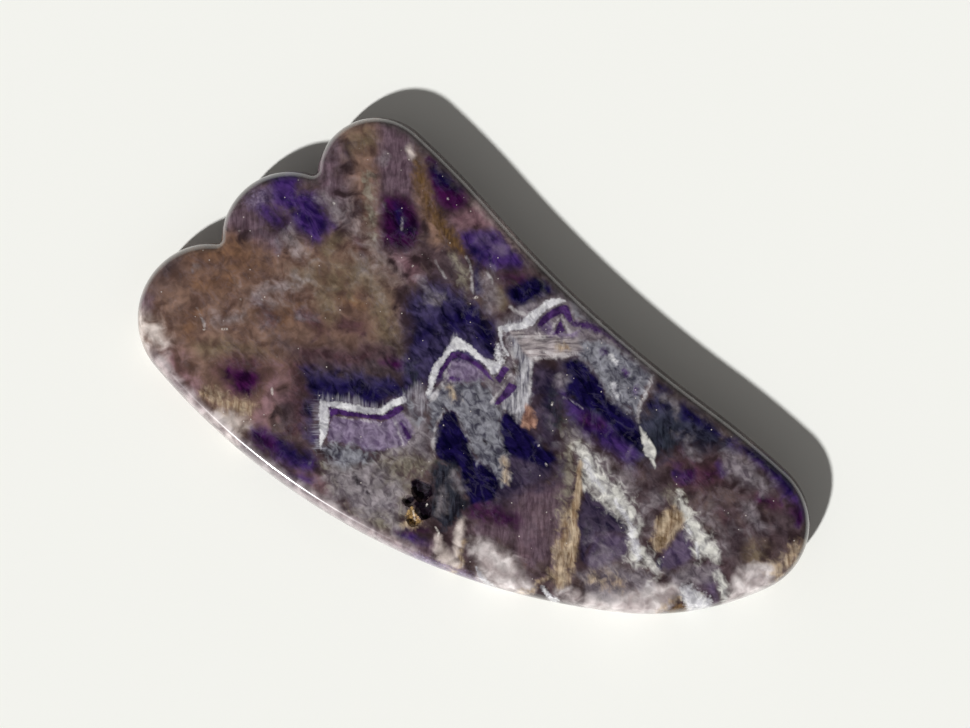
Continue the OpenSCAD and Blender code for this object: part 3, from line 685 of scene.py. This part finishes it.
BAND = Finish("band", "#29133f", "#4d2c68", "veil", "grain", 0.6, 0.96, None, [
    (0.12, [(-18.8, 2.2), (-15, 1.55), (-11.8, 0.9), (-10.4, 1.8), (-9.3, 2.4), (-8.6, 2), (-9.4, 1.3),
            (-10.6, 0.7), (-12, 0.3), (-15, 0.9), (-17.6, 1.2), (-18.4, 1), (-18.8, 0)]),
    (0.2, [(-9.3, 0, 0.2), (-8.2, -1.9, 0.35)]),
    (0.15, [(-4.7, 6), (-4, 7.3), (-3.2, 8.8), (-2.7, 9.5), (-1.6, 9.4), (-0.5, 8.9), (0.6, 8.1),
            (1.6, 7.3), (2.7, 6.2), (3, 5.6), (2.2, 6), (1.2, 6.9), (0.2, 7.7), (-0.7, 8.3), (-1.7, 8.7),
            (-2.5, 8.6), (-3, 7.8), (-3.6, 7), (-4.1, 6)]),
    (0.25, [(-3, 6.2, 0.25), (-1.6, 6, 0.25)]),
    (0.12, [(3.2, 6), (4.3, 7.6), (5.1, 7), (3.8, 5.2)]),
    (0.12, [(3, 2.6), (5.2, 5.5), (6.4, 4.8), (5.2, 3.6), (3.8, 2.6)]),
    (0.15, [(8.7, 12.9), (9.2, 13.8), (10.4, 14.8), (11.4, 15.4), (12.4, 15.6), (13, 15), (13.7, 13.6),
            (13.1, 13.3), (12.5, 14), (12, 14.5), (11.2, 14.2), (10.4, 13.6), (9.4, 12.8)]),
    (0.15, [(11.8, 13.8), (12.5, 12.2), (11.6, 11.8), (10.9, 11.7)]),
    (0.5, [(17.4, 9.6, 0.2), (17.9, 9.3, 0.2)]),
    (0.5, [(20.2, 7, 0.3), (20.6, 6.4, 0.2)]),
    (0.5, [(21.8, 4.6, 0.2), (21.7, 4, 0.2)]),
    (0.35, [(13.6, 13.2, 0.3), (15.6, 12.8, 0.45), (17.6, 12.1, 0.5), (19, 11.2, 0.5), (21, 9.5, 0.3)]),
])
FRINGE = Finish("fringe", "#6f6c7c", "#c3c0c9", "needle", "needle", 1.1, 0.4, None, [
    (0.56, [(-19.8, 3.6, 0.2), (-17, 3.2, 0.3), (-14, 2.5, 0.3), (-11.8, 1.9, 0.1)]),
    (0.32, [(-5.2, 6.6, 0.1), (-3.4, 9.8, 0.1), (-1.9, 11.8, 0.2)]),
    (0.32, [(4, 13, 0.1), (7, 13.6, 0.2), (8.6, 14.9, 0.2)]),
    (0.64, [(-8.6, 3.2, 0.2), (-6.8, 5, 0.3), (-6.4, 2, 0.3)]),
])
SIDE_FRINGE = Finish("side_fringe", "#6d6a7c", "#aeabb8", "side_needle", "side_needle", 1.4, 0.5, None, [
    (0.8, [(-20.2, 2.8, 0.2), (-20.3, -0.5, 0.4), (-20.4, -3, 0.2)]),
])
WHITE = Finish("white", "#a9a7ae", "#e5e4e5", "veil", "grain", 0.8, 0.94, None, [
    (0.18, [(-20, 3.3), (-18.5, 3), (-15, 2.4), (-12, 1.8), (-10.4, 3), (-9, 3.8), (-8.5, 3), (-9.3, 2.5),
            (-10.4, 1.9), (-11.8, 1), (-15, 1.6), (-18.8, 2.3), (-18.9, 0), (-19.2, -2), (-19.9, -3.4),
            (-20.1, -1)]),
    (0.18, [(-5.9, 3.6), (-5.7, 5.8), (-4.9, 7.9), (-3.5, 9.7), (-2.3, 11.4), (-1.7, 11.5), (-0.6, 10.6),
            (0.6, 9.6), (2, 8.6), (3.4, 8), (4.2, 7.7), (3.6, 6.9), (3, 6.3), (2.2, 7.1), (1.1, 8.2),
            (-0.3, 9.2), (-1.6, 9.7), (-2.7, 9.7), (-3.3, 8.9), (-4.3, 7), (-5.1, 5.2), (-5.4, 3.6)]),
    (0.18, [(3.6, 12.8), (5, 13.1), (6.6, 13.4), (7.6, 14.6), (9.2, 15.6), (10.6, 16.4), (11.8, 16.6),
            (12.6, 16.2), (11.4, 15.6), (10, 15), (9, 14), (8.2, 13), (6.8, 12.4), (5.4, 12.2),
            (4.6, 12)]),
    (0.12, [(3.7, 12.6, 0.25), (4.2, 10.8, 0.15), (4.9, 8.9, 0.12)]),
    (0.5, [(3.8, 10.4, 0.2), (3.8, 8.6, 0.4), (4, 7.9, 0.3)]),
    (0.18, [(0.8, -19, 0.12), (1.4, -20.3, 0.22), (2.4, -21.2, 0.2), (4, -21.9, 0.1)]),
    (0.2, [(9.3, -21.6, 0.15), (9.9, -22.5, 0.25), (10.6, -23.2, 0.25), (11.6, -23.5, 0.1)]),
    (0.3, [(19.2, -10.2, 0.2), (20.4, -12.2, 0.35), (21, -13.6, 0.15)]),
    (0.3, [(28.6, -13.8, 0.15), (29.2, -14.8, 0.15)]),
    (0.18, [(29.7, -15.8, 0.15), (29.9, -17.8, 0.15)]),
    # This broad stroke by the bottom edge is partly the white stone, partly painted glow of light through
    # the rim
    (0.6, [(28.6, -22.2, 0.9), (29.6, -23.6, 1.3), (31, -24, 0.9)]),
    (0.4, [(18.8, 5, 0.3), (19.2, 3.6, 0.3)]),
    (0.3, [(18.4, 9, 0.2), (19.4, 8.1, 0.15)]),
    (0.4, [(15.2, -5, 0.4), (16, -7.2, 0.3), (17.4, -8.8, 0.2)]),
    (0.4, [(21.2, -14.2, 0.3), (21.6, -16.4, 0.5), (22.2, -17.8, 0.3)]),
])
LINE = Finish("line", "#a39c9f", "#dcd8d8", "veil", "veil", 0.8, 0.5, None, [
    (0.2, [(-18.2, 0.95, 0.08), (-15, 0.6, 0.08), (-12, -0.2, 0.08)]),
    (0.2, [(-10.2, 0.5, 0.1), (-9, -2.8, 0.14)]),
    (0.2, [(-2.7, 7.9, 0.12), (-4.2, 5.1, 0.14), (-5.3, 2.9, 0.14)]),
    (0.2, [(-3, 6.6, 0.1), (-4.8, 3.2, 0.12)]),
    (0.2, [(2.6, 2.9, 0.2), (4, 4.6, 0.15), (5.3, 6.3, 0.15)]),
    (0.2, [(10.6, 12, 0.14), (11.2, 13.5, 0.14), (11.9, 14.2, 0.14), (12.6, 13.2, 0.14),
           (13.2, 12, 0.14)]),
    (0.2, [(8.7, 12, 0.14), (10, 11.3, 0.12)]),
    (0.2, [(5.6, 11.2, 0.1), (8, 11.4, 0.12), (10.2, 11.2, 0.1)]),
    (0.2, [(7.6, 9.5, 0.1), (12, 9.2, 0.12), (14, 9.4, 0.12)]),
    (0.2, [(7.8, 8.7, 0.14), (10, 8.7, 0.14), (12, 8.9, 0.16), (13.8, 9.1, 0.14)]),
    (0.2, [(5.3, 10.8, 0.1), (5.6, 8, 0.12), (6.2, 6.4, 0.1)]),
    (0.2, [(7.7, 8.6, 0.14), (7.7, 5.5, 0.14), (7.8, 3.8, 0.1)]),
    (0.2, [(5, 15.6, 0.08), (6, 14.8, 0.14), (7, 14.3, 0.1)]),
    (0.3, [(24.2, 6.4, 0.12), (23.2, 4.2, 0.16), (22.4, 2.4, 0.2), (22, 1, 0.2), (22.2, 0, 0.12)]),
    (0.2, [(-36.2, 15.3, 0.06), (-35.5, 13.8, 0.1), (-35.2, 12.8, 0.06)]),
    (0.2, [(22.4, -22.2, 0.06), (23.4, -21.1, 0.1), (24.9, -22.5, 0.06)]),
    (0.2, [(-0.5, 22.2, 0.08), (0, 20, 0.1), (0.2, 17.2, 0.1)]),
    (0.2, [(-4.8, 21.4, 0.1), (-4.2, 20.3, 0.12), (-3.4, 19.1, 0.08)]),
    (0.2, [(12.4, 3.6, 0.02), (14.8, 1.9, 0.04)]),
    (0.2, [(2.2, 20, 0.08), (2.8, 18.4, 0.1)]),
    (0.2, [(-9.2, 27, 0.1), (-9.1, 25.7, 0.12)]),
    (0.2, [(-3.6, 1.7, 0.06), (-4.3, 0.4, 0.1), (-5, -1.4, 0.12), (-5.1, -2.8, 0.12),
           (-4.6, -4.4, 0.08)]),
])
# Near-black in the pocket's hollows and a few small pits: partly the dark smoky stone, partly painted shade
# in the hollows
PIT_AND_PAINTED_SHADE = Finish("pit_and_painted_shade", "#050209", "#190d18", "grain", "grain", 0.4, 1, None, [
    (0.15, [(-8, -7.7), (-7.2, -7.3), (-6.2, -7.6), (-5.2, -8.2), (-5, -9.6), (-6, -10.2), (-7.2, -9.6),
            (-7.8, -8.8)]),
    (0.15, [(-9, -10.3), (-8.4, -9.7), (-7.6, -9.6), (-7.3, -9.9), (-7.8, -10.5), (-8.6, -10.6)]),
    (0.15, [(-7.7, -10.6), (-7, -10.3), (-5.6, -10.4), (-5.1, -11.2), (-5.3, -12.4), (-6, -13),
            (-6.6, -12.4), (-6.8, -11.4), (-7.4, -11)]),
    (0.2, [(-8.5, -11.2, 0.15), (-8.4, -11.5, 0.1)]),
    (0.25, [(1.6, -2.4, 0.15), (2, -2.8, 0.2)]),
    (0.35, [(-15.4, -7, 0.15), (-15, -7.8, 0.3)]),
    (0.2, [(-13.7, -9, 0.1), (-13.4, -9.3, 0.1)]),
])
# Painted highlights: small glints of reflected lamp light, on the face and in the pocket
PAINTED_GLINT = Finish("painted_glint", "#e3d9d0", "#f7f1ea", "veil", "grain", 0.4, 0.95, None, [
    (0.15, [(-5.85, -10.7, 0.12)]),
    (0.15, [(-4.8, -13.6, 0.06), (-4.3, -14.4, 0.07), (-4.5, -14.9, 0.07)]),
    (0.15, [(-7.7, -11.6, 0.07), (-7.4, -13, 0.07)]),
    (0.15, [(-30.4, 16.4, 0.08)]),
    (0.15, [(-27.6, 16.4, 0.08)]),
    (0.15, [(-35.4, 12.4, 0.06), (-35.1, 12.4, 0.06)]),
    (0.2, [(-33, 12.4, 0.06), (-32.3, 12.4, 0.06)]),
    (0.2, [(-26.3, 4.6, 0.05), (-26.2, 3.8, 0.06)]),
    (0.15, [(-26, -0.4, 0.07)]),
    (0.15, [(-34.9, 1.6, 0.06)]),
    (0.15, [(0.3, 16.6, 0.07), (0.9, 16.7, 0.1)]),
    (0.15, [(-3.1, 29.6, 0.1)]),
    (0.15, [(-7.7, 20.8, 0.1)]),
    (0.15, [(10.6, 2.4, 0.06), (10.8, 2.8, 0.07)]),
    (0.15, [(9, -2.9, 0.1)]),
    (0.15, [(9.8, -5.4, 0.07), (10, -5.7, 0.07)]),
    (0.15, [(10.5, -12.7, 0.08)]),
    (0.15, [(20.7, 1.2, 0.06)]),
    (0.15, [(17.5, -6.7, 0.12)]),
    (0.15, [(-18.2, 29.1, 0.12)]),
    (0.15, [(-30.6, 25.4, 0.08)]),
    (0.15, [(-5.6, -18.4, 0.08)]),
    (0.15, [(-5, -18.8, 0.07)]),
    (0.15, [(34, -11.9, 0.07)]),
])
# Painted shade and see-through look: a dim glassy band on the rim of the hollow edge, the side away from
# the lamp
EDGE_PAINTED_SHADE = Finish("edge_painted_shade", "#3a3433", "#5d5554", "veil", "veil", 0.5, 0.65, 1.9, [
    (1.5, [(-10, 40.5, 1.6), (-4, 36, 1.6), (2, 30.5, 1.6), (10, 20.8, 1.6), (20, 12, 1.6), (28, 5, 1.6),
           (36, -1.5, 1.2)]),
])
# Painted highlights: pink light along the rim by the middle scallop and along the belly's rim
EDGE_PAINTED_HIGHLIGHT = Finish("edge_painted_highlight", "#7d696a", "#a08c8a", "veil", "veil", 0.5, 0.8, 1.7, [
    (1.0, [(1.2, 29, 0.8), (4.5, 26, 0.9), (8, 22, 0.2)]),
    (1.2, [(-22, -9.6, 1.4), (-16, -13.4, 1.6), (-9, -17, 1)]),
])
# Painted glow: pale light through the clear rim along the belly, on the side of the lamp
EDGE_PAINTED_GLOW = Finish("edge_painted_glow", "#857b80", "#bfb7b8", "cloud", "cloud", 0.6, 0.62, 1.9, [
    (1.5, [(-42, 8, 2), (-36, 1, 2), (-28, -5.5, 2), (-20, -11, 2), (-14, -14.6, 1.6), (-9, -17, 0.8)]),
])

FINISHES = [SMOKE, RUST, OLIVE, SHADE, MAROON, MAUVE, ROSE, CREAM, BLUSH, STREAK, NIGHT, SLATE, GLOOM,
            VIOLET, PLUM, INK, MOSS, DUSK, MIST, HAZE, LILAC, MILK, VEIN, GAUZE, LEDGE, OCHRE, CORAL, GOLD,
            BAND, FRINGE, SIDE_FRINGE, WHITE, LINE, EDGE_PAINTED_SHADE, EDGE_PAINTED_HIGHLIGHT, EDGE_PAINTED_GLOW, PIT_AND_PAINTED_SHADE, AMBER_AND_PAINTED_SPARKLE, PAINTED_GLINT]

# Finishes of the pocket, with its partly painted shade and sparkle, and the painted glints, which the lower
# half of the board doesn't have
UPPER_ONLY = [PIT_AND_PAINTED_SHADE, AMBER_AND_PAINTED_SPARKLE, PAINTED_GLINT]


def line_cover(places, points):
    """How deep each place lies inside a line of tapering width, or outside it as a negative depth."""
    ends = np.array(points if len(points) > 1 else points * 2)
    best = np.full(len(places), -np.inf)
    for start, end in zip(ends, ends[1:]):
        way = end[:2] - start[:2]
        offset = places - start[:2]
        share = np.clip(offset @ way / max(way @ way, LEAST_SQUARE), 0, 1)
        width = start[2] + (end[2] - start[2]) * share
        distance = np.linalg.norm(offset - share[:, None] * way, axis=1)
        best = np.maximum(best, width - distance)
    return best


def area_cover(places, corners):
    """How deep each place lies inside a closed outline, or outside it as a negative depth."""
    corners = np.array(corners)
    distance = np.full(len(places), np.inf)
    inside = np.zeros(len(places), dtype=bool)
    for start, end in zip(corners, np.roll(corners, -1, axis=0)):
        way = end - start
        offset = places - start
        share = np.clip(offset @ way / (way @ way), 0, 1)
        distance = np.minimum(distance, np.linalg.norm(offset - share[:, None] * way, axis=1))
        spans = (start[1] > places[:, 1]) != (end[1] > places[:, 1])
        if way[1] != 0:
            crossing = start[0] + (places[:, 1] - start[1]) * way[0] / way[1]
            inside ^= spans & (places[:, 0] < crossing)
    return np.where(inside, distance, -distance)


def finish_cover(places, finish):
    """How far each place lies inside any stroke of a finish, as a share of the stroke's softness."""
    cover = np.full(len(places), -COVER_REACH)
    for softness, points in finish.strokes:
        spots = np.array([point[:2] for point in points])
        margin = COVER_REACH * softness + max((point[2] for point in points if len(point) > 2), default=0)
        near = np.all((places > spots.min(axis=0) - margin) & (places < spots.max(axis=0) + margin), axis=1)
        depth = line_cover if len(points[0]) > 2 else area_cover
        if near.any():
            cover[near] = np.maximum(cover[near], depth(places[near], points) / softness)
    return cover


def lay_pattern(mesh, outline):
    """Writes each finish's cover to the mesh as an attribute of its own."""
    places = np.empty(len(mesh.vertices) * 3)
    mesh.vertices.foreach_get("co", places)
    places = places.reshape(-1, 3) / MM
    along = places[:, 0] * math.cos(STRATA_TURN) + places[:, 1] * math.sin(STRATA_TURN)
    across = places[:, 1] * math.cos(STRATA_TURN) - places[:, 0] * math.sin(STRATA_TURN)
    across = across + STRATA_LEAN * (BOARD_T - places[:, 2])
    layered = np.stack([along, across], axis=1)
    drift = sum(reach * np.array([noise.noise_vector(place)[:2] for place in (pace * places).tolist()])
                for pace, reach in DRIFTS)
    rim = np.maximum(area_cover(places[:, :2], outline), 0)
    for finish in FINISHES:
        cover = finish_cover(layered + finish.stray * drift, finish)
        # Painted rim light and shade stays near the edge and fades down the wall
        if finish.rim is not None:
            cover = np.minimum(cover, (finish.rim - rim) / (RIM_SOFTNESS * finish.rim))
            cover = np.minimum(cover, (places[:, 2] - RIM_HEIGHT) / RIM_FADE)
        if finish in UPPER_ONLY:
            cover = np.where(places[:, 2] > HALF_T, cover, -COVER_REACH)
        layer = mesh.attributes.new(finish.name, "FLOAT", "POINT")
        layer.data.foreach_set("value", np.clip(cover, -COVER_REACH, COVER_REACH).astype(np.float32))


def tint(code):
    """Linear colour of a colour written as on a screen."""
    parts = [int(code[place:place + 2], 16) / 255 for place in (1, 3, 5)]
    linear = [part / 12.92 if part <= 0.04045 else ((part + 0.055) / 1.055) ** 2.4 for part in parts]
    return (*linear, 1.0)


class Recipe:
    """Node tree of one material, with the few kinds of step that the finishes are mixed from."""

    def __init__(self, name):
        self.material = bpy.data.materials.new(name)
        self.material.use_nodes = True
        self.tree = self.material.node_tree
        self.shader = self.tree.nodes["Principled BSDF"]

    def feed(self, socket, value):
        """Links a socket to another one, or gives it a fixed value."""
        if isinstance(value, bpy.types.NodeSocket):
            self.tree.links.new(value, socket)
        else:
            socket.default_value = value

    def step(self, kind, feeds, **options):
        """Adds one node and feeds its sockets."""
        node = self.tree.nodes.new(kind)
        for option, value in options.items():
            setattr(node, option, value)
        for socket, value in feeds.items():
            self.feed(node.inputs[socket], value)
        return node

    def sum(self, first, second, operation="ADD"):
        """One step of arithmetic on two values."""
        return self.step("ShaderNodeMath", {0: first, 1: second}, operation=operation).outputs[0]

    def spread(self, value, low, high, to_low=0.0, to_high=1.0):
        """Carries a value from one range to another, gently at both ends."""
        feeds = {"Value": value, "From Min": low, "From Max": high, "To Min": to_low, "To Max": to_high}
        return self.step("ShaderNodeMapRange", feeds, interpolation_type="SMOOTHSTEP").outputs["Result"]

    def mix(self, share, under_colour, over_colour, kind="MIX"):
        """One colour over another by a share."""
        node = self.step("ShaderNodeMix", {}, data_type="RGBA", blend_type=kind)
        for socket, value in ((0, share), (6, under_colour), (7, over_colour)):
            self.feed(node.inputs[socket], value)
        return node.outputs[2]

    def noise(self, coordinates, stretch, scale, detail, roughness, distortion=0.0):
        """Cloudy noise between 0 and 1, squeezed along each axis."""
        squeezed = self.step("ShaderNodeMapping", {"Vector": coordinates, "Scale": stretch}).outputs[0]
        feeds = {"Vector": squeezed, "Scale": scale, "Detail": detail, "Roughness": roughness,
                 "Distortion": distortion}
        return self.step("ShaderNodeTexNoise", feeds).outputs["Fac"]


# Ground of the stone: its two colours and its warmer patches
GROUND_DARK = "#332629"
GROUND_LIGHT = "#57464a"
GROUND_WARM = "#5d4d4b"

# Noises: their middle, the range that they mostly keep to, and how far a full stray carries an edge
NOISE_MIDDLE = 0.5
NOISE_LOW = 0.3
NOISE_HIGH = 0.7
STRAY_REACH = 4

# Specks: cells to the millimetre, largest radius in cells, softness, cover and colour
SPECK_SCALE = 1.1
SPECK_R = 0.13
SPECK_SOFTNESS = 0.06
SPECK_COVER = 0.7
SPECK_COLOUR = "#cfc6c0"

# Wisps: how near the middle of their noise they lie, their cover and their colour
WISP_REACH = 0.05
WISP_COVER = 0.08
WISP_COLOUR = "#8f899b"

# Mottle: how far it darkens and lightens
MOTTLE_DARK = 0.78
MOTTLE_LIGHT = 1.21

# Gloss of the polished stone, and what differs where no polish has reached
POLISHED = {"Roughness": 0.2, "IOR": 1.54, "Specular IOR Level": 0.3, "Coat Weight": 0.5,
            "Coat Roughness": 0.08}
UNPOLISHED = {"Roughness": 0.6, "Specular IOR Level": 0.05, "Coat Weight": 0}


def set_gloss(shader, gloss):
    """Gives a shader the values of a gloss."""
    for socket, value in gloss.items():
        shader.inputs[socket].default_value = value


def lay_finish(recipe, colour, finish, noises):
    """One finish over a colour, as far as its cover and its stray go."""
    cover = recipe.step("ShaderNodeAttribute", {}, attribute_name=finish.name).outputs["Fac"]
    swing = recipe.sum(noises[finish.edge], NOISE_MIDDLE, "SUBTRACT")
    wander = recipe.sum(swing, STRAY_REACH * finish.stray, "MULTIPLY")
    share = recipe.spread(recipe.sum(cover, wander), -1, 1, 0, finish.cover)
    body = recipe.mix(recipe.spread(noises[finish.body], NOISE_LOW, NOISE_HIGH),
                      tint(finish.dark), tint(finish.light))
    return recipe.mix(share, colour, body)


def strew_specks(recipe, colour, layered):
    """Pale specks of many sizes over a colour."""
    cells = recipe.step("ShaderNodeTexVoronoi", {"Vector": layered, "Scale": SPECK_SCALE}, feature="F1")
    chance = recipe.step("ShaderNodeSeparateColor", {0: cells.outputs["Color"]}).outputs[0]
    size = recipe.spread(chance, 0.5, 1.0, 0.0, SPECK_R)
    depth = recipe.sum(size, cells.outputs["Distance"], "SUBTRACT")
    speck = recipe.spread(depth, 0.0, SPECK_SOFTNESS, 0, SPECK_COVER)
    return recipe.mix(speck, colour, tint(SPECK_COLOUR))


def draw_wisps(recipe, colour, streaked, deep):
    """Faint threads over a colour, in patches, where their noise passes its middle."""
    threads = recipe.noise(streaked, (0.7, 1.2, 1), 0.4, 8, 0.66, 0.8)
    bend = recipe.sum(threads, NOISE_MIDDLE, "SUBTRACT")
    wisp = recipe.spread(recipe.sum(bend, 0, "ABSOLUTE"), 0, WISP_REACH, WISP_COVER, 0)
    patchy = recipe.spread(deep, 0.42, 0.62)
    return recipe.mix(recipe.sum(wisp, patchy, "MULTIPLY"), colour, tint(WISP_COLOUR))


def mottle(recipe, colour, layered):
    """A colour made unevenly darker and lighter."""
    patches = recipe.noise(layered, (1, 1, 1), 0.9, 3, 0.5, 0.5)
    light = recipe.spread(patches, NOISE_LOW, NOISE_HIGH, MOTTLE_DARK, MOTTLE_LIGHT)
    grey = recipe.step("ShaderNodeCombineColor", {0: light, 1: light, 2: light}).outputs[0]
    return recipe.mix(1.0, colour, grey, "MULTIPLY")


def mix_stone(name):
    """Quartz: smoky ground, each finish of the pattern over it, with painted highlights, glow and shade
    among them, then specks, wisps and a clear gloss.
    """
    recipe = Recipe(name)
    place = recipe.step("ShaderNodeTexCoord", {}).outputs["Object"]
    layered = recipe.step("ShaderNodeMapping", {"Vector": place, "Rotation": (0, 0, -STRATA_TURN),
                                                "Scale": (1 / MM, 1 / MM, 1 / MM)}).outputs[0]
    streaked = recipe.step("ShaderNodeMapping", {"Vector": layered,
                                                 "Rotation": (0, 0, STREAK_TURN)}).outputs[0]
    noises = {
        "cloud": recipe.noise(layered, (1, 1, 1), 0.45, 4, 0.5, 0.6),
        "stream": recipe.noise(streaked, (0.65, 1.4, 1), 0.7, 3, 0.5, 0.8),
        "veil": recipe.noise(streaked, (0.85, 1.2, 1), 1.0, 4, 0.5, 0.7),
        "grain": recipe.noise(layered, (1, 1, 1), 3, 3, 0.5),
        "fibre": recipe.noise(layered, (2.2, 0.45, 1), 1.0, 4, 0.55, 0.4),
        "shelf": recipe.noise(layered, (0.4, 2.4, 1), 1.0, 4, 0.55, 0.4),
        "needle": recipe.noise(layered, (3.5, 0.3, 1), 1.0, 3, 0.5),
        "side_needle": recipe.noise(layered, (0.3, 3.5, 1), 1.0, 3, 0.5),
    }
    deep = recipe.noise(layered, (1, 1, 1), 0.22, 5, 0.6, 0.8)
    ground = recipe.mix(recipe.spread(noises["cloud"], 0.35, 0.65), tint(GROUND_DARK), tint(GROUND_LIGHT))
    colour = recipe.mix(recipe.spread(deep, 0.45, 0.7), ground, tint(GROUND_WARM))
    for finish in FINISHES:
        colour = lay_finish(recipe, colour, finish, noises)
    colour = strew_specks(recipe, colour, layered)
    colour = draw_wisps(recipe, colour, streaked, deep)
    colour = mottle(recipe, colour, layered)
    recipe.feed(recipe.shader.inputs["Base Color"], colour)
    set_gloss(recipe.shader, POLISHED)
    return recipe.material


def dull(material, name):
    """Copy of a polished finish as it is where no polish has reached."""
    rough = material.copy()
    rough.name = name
    set_gloss(rough.node_tree.nodes["Principled BSDF"], UNPOLISHED)
    return rough


def finish_piece(name, bm, outline, materials):
    """Makes a mesh object of a drawing in millimetres, with the pattern laid on it."""
    roughen_pocket(bm)
    slice_face(bm, BOARD_T, UPPER_SPACING)
    slice_face(bm, 0, LOWER_SPACING)
    bmesh.ops.recalc_face_normals(bm, faces=bm.faces)
    bmesh.ops.scale(bm, verts=bm.verts, vec=(MM, MM, MM))
    mesh = bpy.data.meshes.new(name)
    bm.to_mesh(mesh)
    bm.free()
    mesh.shade_smooth()
    mesh.set_sharp_from_angle(angle=SHARP_EDGE)
    lay_pattern(mesh, outline)
    slots = {face.material_index for face in mesh.polygons}
    for slot in range(max(slots) + 1):
        mesh.materials.append(materials[slot])
    piece = bpy.data.objects.new(name, mesh)
    bpy.context.scene.collection.objects.link(piece)
    return piece


def make_stone():
    """Eight growth layers, cut from one board so that they lie together without a gap."""
    polished = mix_stone("polished_chevron_quartz")
    druse = dull(polished, "crystal_druse")
    drawing, outline = cut_board()
    board = scratch_object("board", drawing)
    below_crown = under("below_crown", CROWN_LINE, -AMETHYST_T)
    below_amethyst = under("below_amethyst", CHEVRON_LINE, 0)
    below_white = under("below_white", CHEVRON_LINE, WHITE_T)
    below_violet = under("below_violet", CHEVRON_LINE, WHITE_T + VIOLET_T)
    below_lilac = under("below_lilac", CHEVRON_LINE, WHITE_T + VIOLET_T + LILAC_T)
    veins = prism("veins", VEIN_OUTLINES)
    oxide = prism("oxide", OXIDE_OUTLINES)
    pocket = pocket_cutter()
    layers = {
        "smoky_crown": ([], [below_crown, below_amethyst]),
        "amethyst_layer": ([below_crown], [below_amethyst]),
        "white_chevron": ([below_amethyst], [below_white]),
        "violet_band": ([below_white], [below_violet]),
        "lilac_layer": ([below_violet], [below_lilac, oxide, pocket]),
        "amethyst_root": ([below_lilac], [veins, oxide, pocket]),
        "milky_veins": ([veins], [oxide]),
        "iron_oxide": ([oxide], []),
    }
    for node, (keeps, drops) in layers.items():
        drawing = carve(board, keeps, drops)
        piece = finish_piece("polished_" + node, drawing, outline, [polished, druse])
        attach(piece, "root")
        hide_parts(node)
    for scratch in (board, below_crown, below_amethyst, below_white, below_violet, below_lilac,
                    veins, oxide, pocket):
        bpy.data.objects.remove(scratch)


# Floor: half its side in metres, and the colour of its paper
FLOOR_HALF = 2
PAPER = (0.905, 0.913, 0.87, 1)

# Sky: its colour, its strength at the sides and overhead, and the heights between which it dims, where 1 is
# straight up
SKY_COLOUR = (1, 0.965, 0.945, 1)
SKY_SIDES = 0.25
SKY_OVERHEAD = 0.012
SKY_DIMS_FROM = 0.7
SKY_DIMS_TO = 0.92

# Lamp: its strength, its width as an angle, the way that its light goes and how steeply
KEY_STRENGTH = 4.0
KEY_WIDTH = math.radians(3)
KEY_HEADING = math.radians(91)
KEY_HEIGHT = math.radians(40)

# Camera: its place, from which it looks straight down with the layers level in its frame, and its lens
CAMERA_PLACE = (-3.92, 7.0, 220.2)
LENS = 60
SENSOR = 36


def lay_floor():
    """Plain sheet of paper under the board."""
    bm = bmesh.new()
    bmesh.ops.create_grid(bm, x_segments=1, y_segments=1, size=FLOOR_HALF)
    mesh = bpy.data.meshes.new("floor")
    bm.to_mesh(mesh)
    bm.free()
    floor = bpy.data.objects.new("floor", mesh)
    bpy.context.scene.collection.objects.link(floor)
    paper = bpy.data.materials.new("paper")
    paper.use_nodes = True
    shader = paper.node_tree.nodes["Principled BSDF"]
    shader.inputs["Base Color"].default_value = PAPER
    shader.inputs["Roughness"].default_value = 1
    mesh.materials.append(paper)


def hang_sky():
    """Soft studio sky that is darker overhead."""
    world = bpy.data.worlds.new("studio")
    bpy.context.scene.world = world
    world.use_nodes = True
    sky = world.node_tree
    background = sky.nodes["Background"]
    direction = sky.nodes.new("ShaderNodeTexCoord")
    parts = sky.nodes.new("ShaderNodeSeparateXYZ")
    dimming = sky.nodes.new("ShaderNodeMapRange")
    dimming.interpolation_type = "SMOOTHSTEP"
    dimming.inputs["From Min"].default_value = SKY_DIMS_FROM
    dimming.inputs["From Max"].default_value = SKY_DIMS_TO
    dimming.inputs["To Min"].default_value = SKY_SIDES
    dimming.inputs["To Max"].default_value = SKY_OVERHEAD
    sky.links.new(direction.outputs["Generated"], parts.inputs[0])
    sky.links.new(parts.outputs["Z"], dimming.inputs["Value"])
    sky.links.new(dimming.outputs["Result"], background.inputs["Strength"])
    background.inputs["Color"].default_value = SKY_COLOUR


def hang_lamp():
    """One lamp, low enough for a clear shadow."""
    key = bpy.data.lights.new("key", "SUN")
    key.energy = KEY_STRENGTH
    key.angle = KEY_WIDTH
    lamp = bpy.data.objects.new("key", key)
    travel = Vector((math.cos(KEY_HEADING), math.sin(KEY_HEADING), -math.tan(KEY_HEIGHT)))
    lamp.rotation_euler = travel.to_track_quat("-Z", "Y").to_euler()
    bpy.context.scene.collection.objects.link(lamp)


def set_camera():
    """Camera at the photograph's viewing angle."""
    lens = bpy.data.cameras.new("camera")
    lens.lens = LENS
    lens.sensor_width = SENSOR
    camera = bpy.data.objects.new("camera", lens)
    camera.location = MM * Vector(CAMERA_PLACE)
    camera.rotation_euler = (0, 0, STRATA_TURN)
    bpy.context.scene.collection.objects.link(camera)
    bpy.context.scene.camera = camera


make_stone()
lay_floor()
hang_sky()
hang_lamp()
set_camera()
bpy.context.scene.view_settings.view_transform = "Standard"
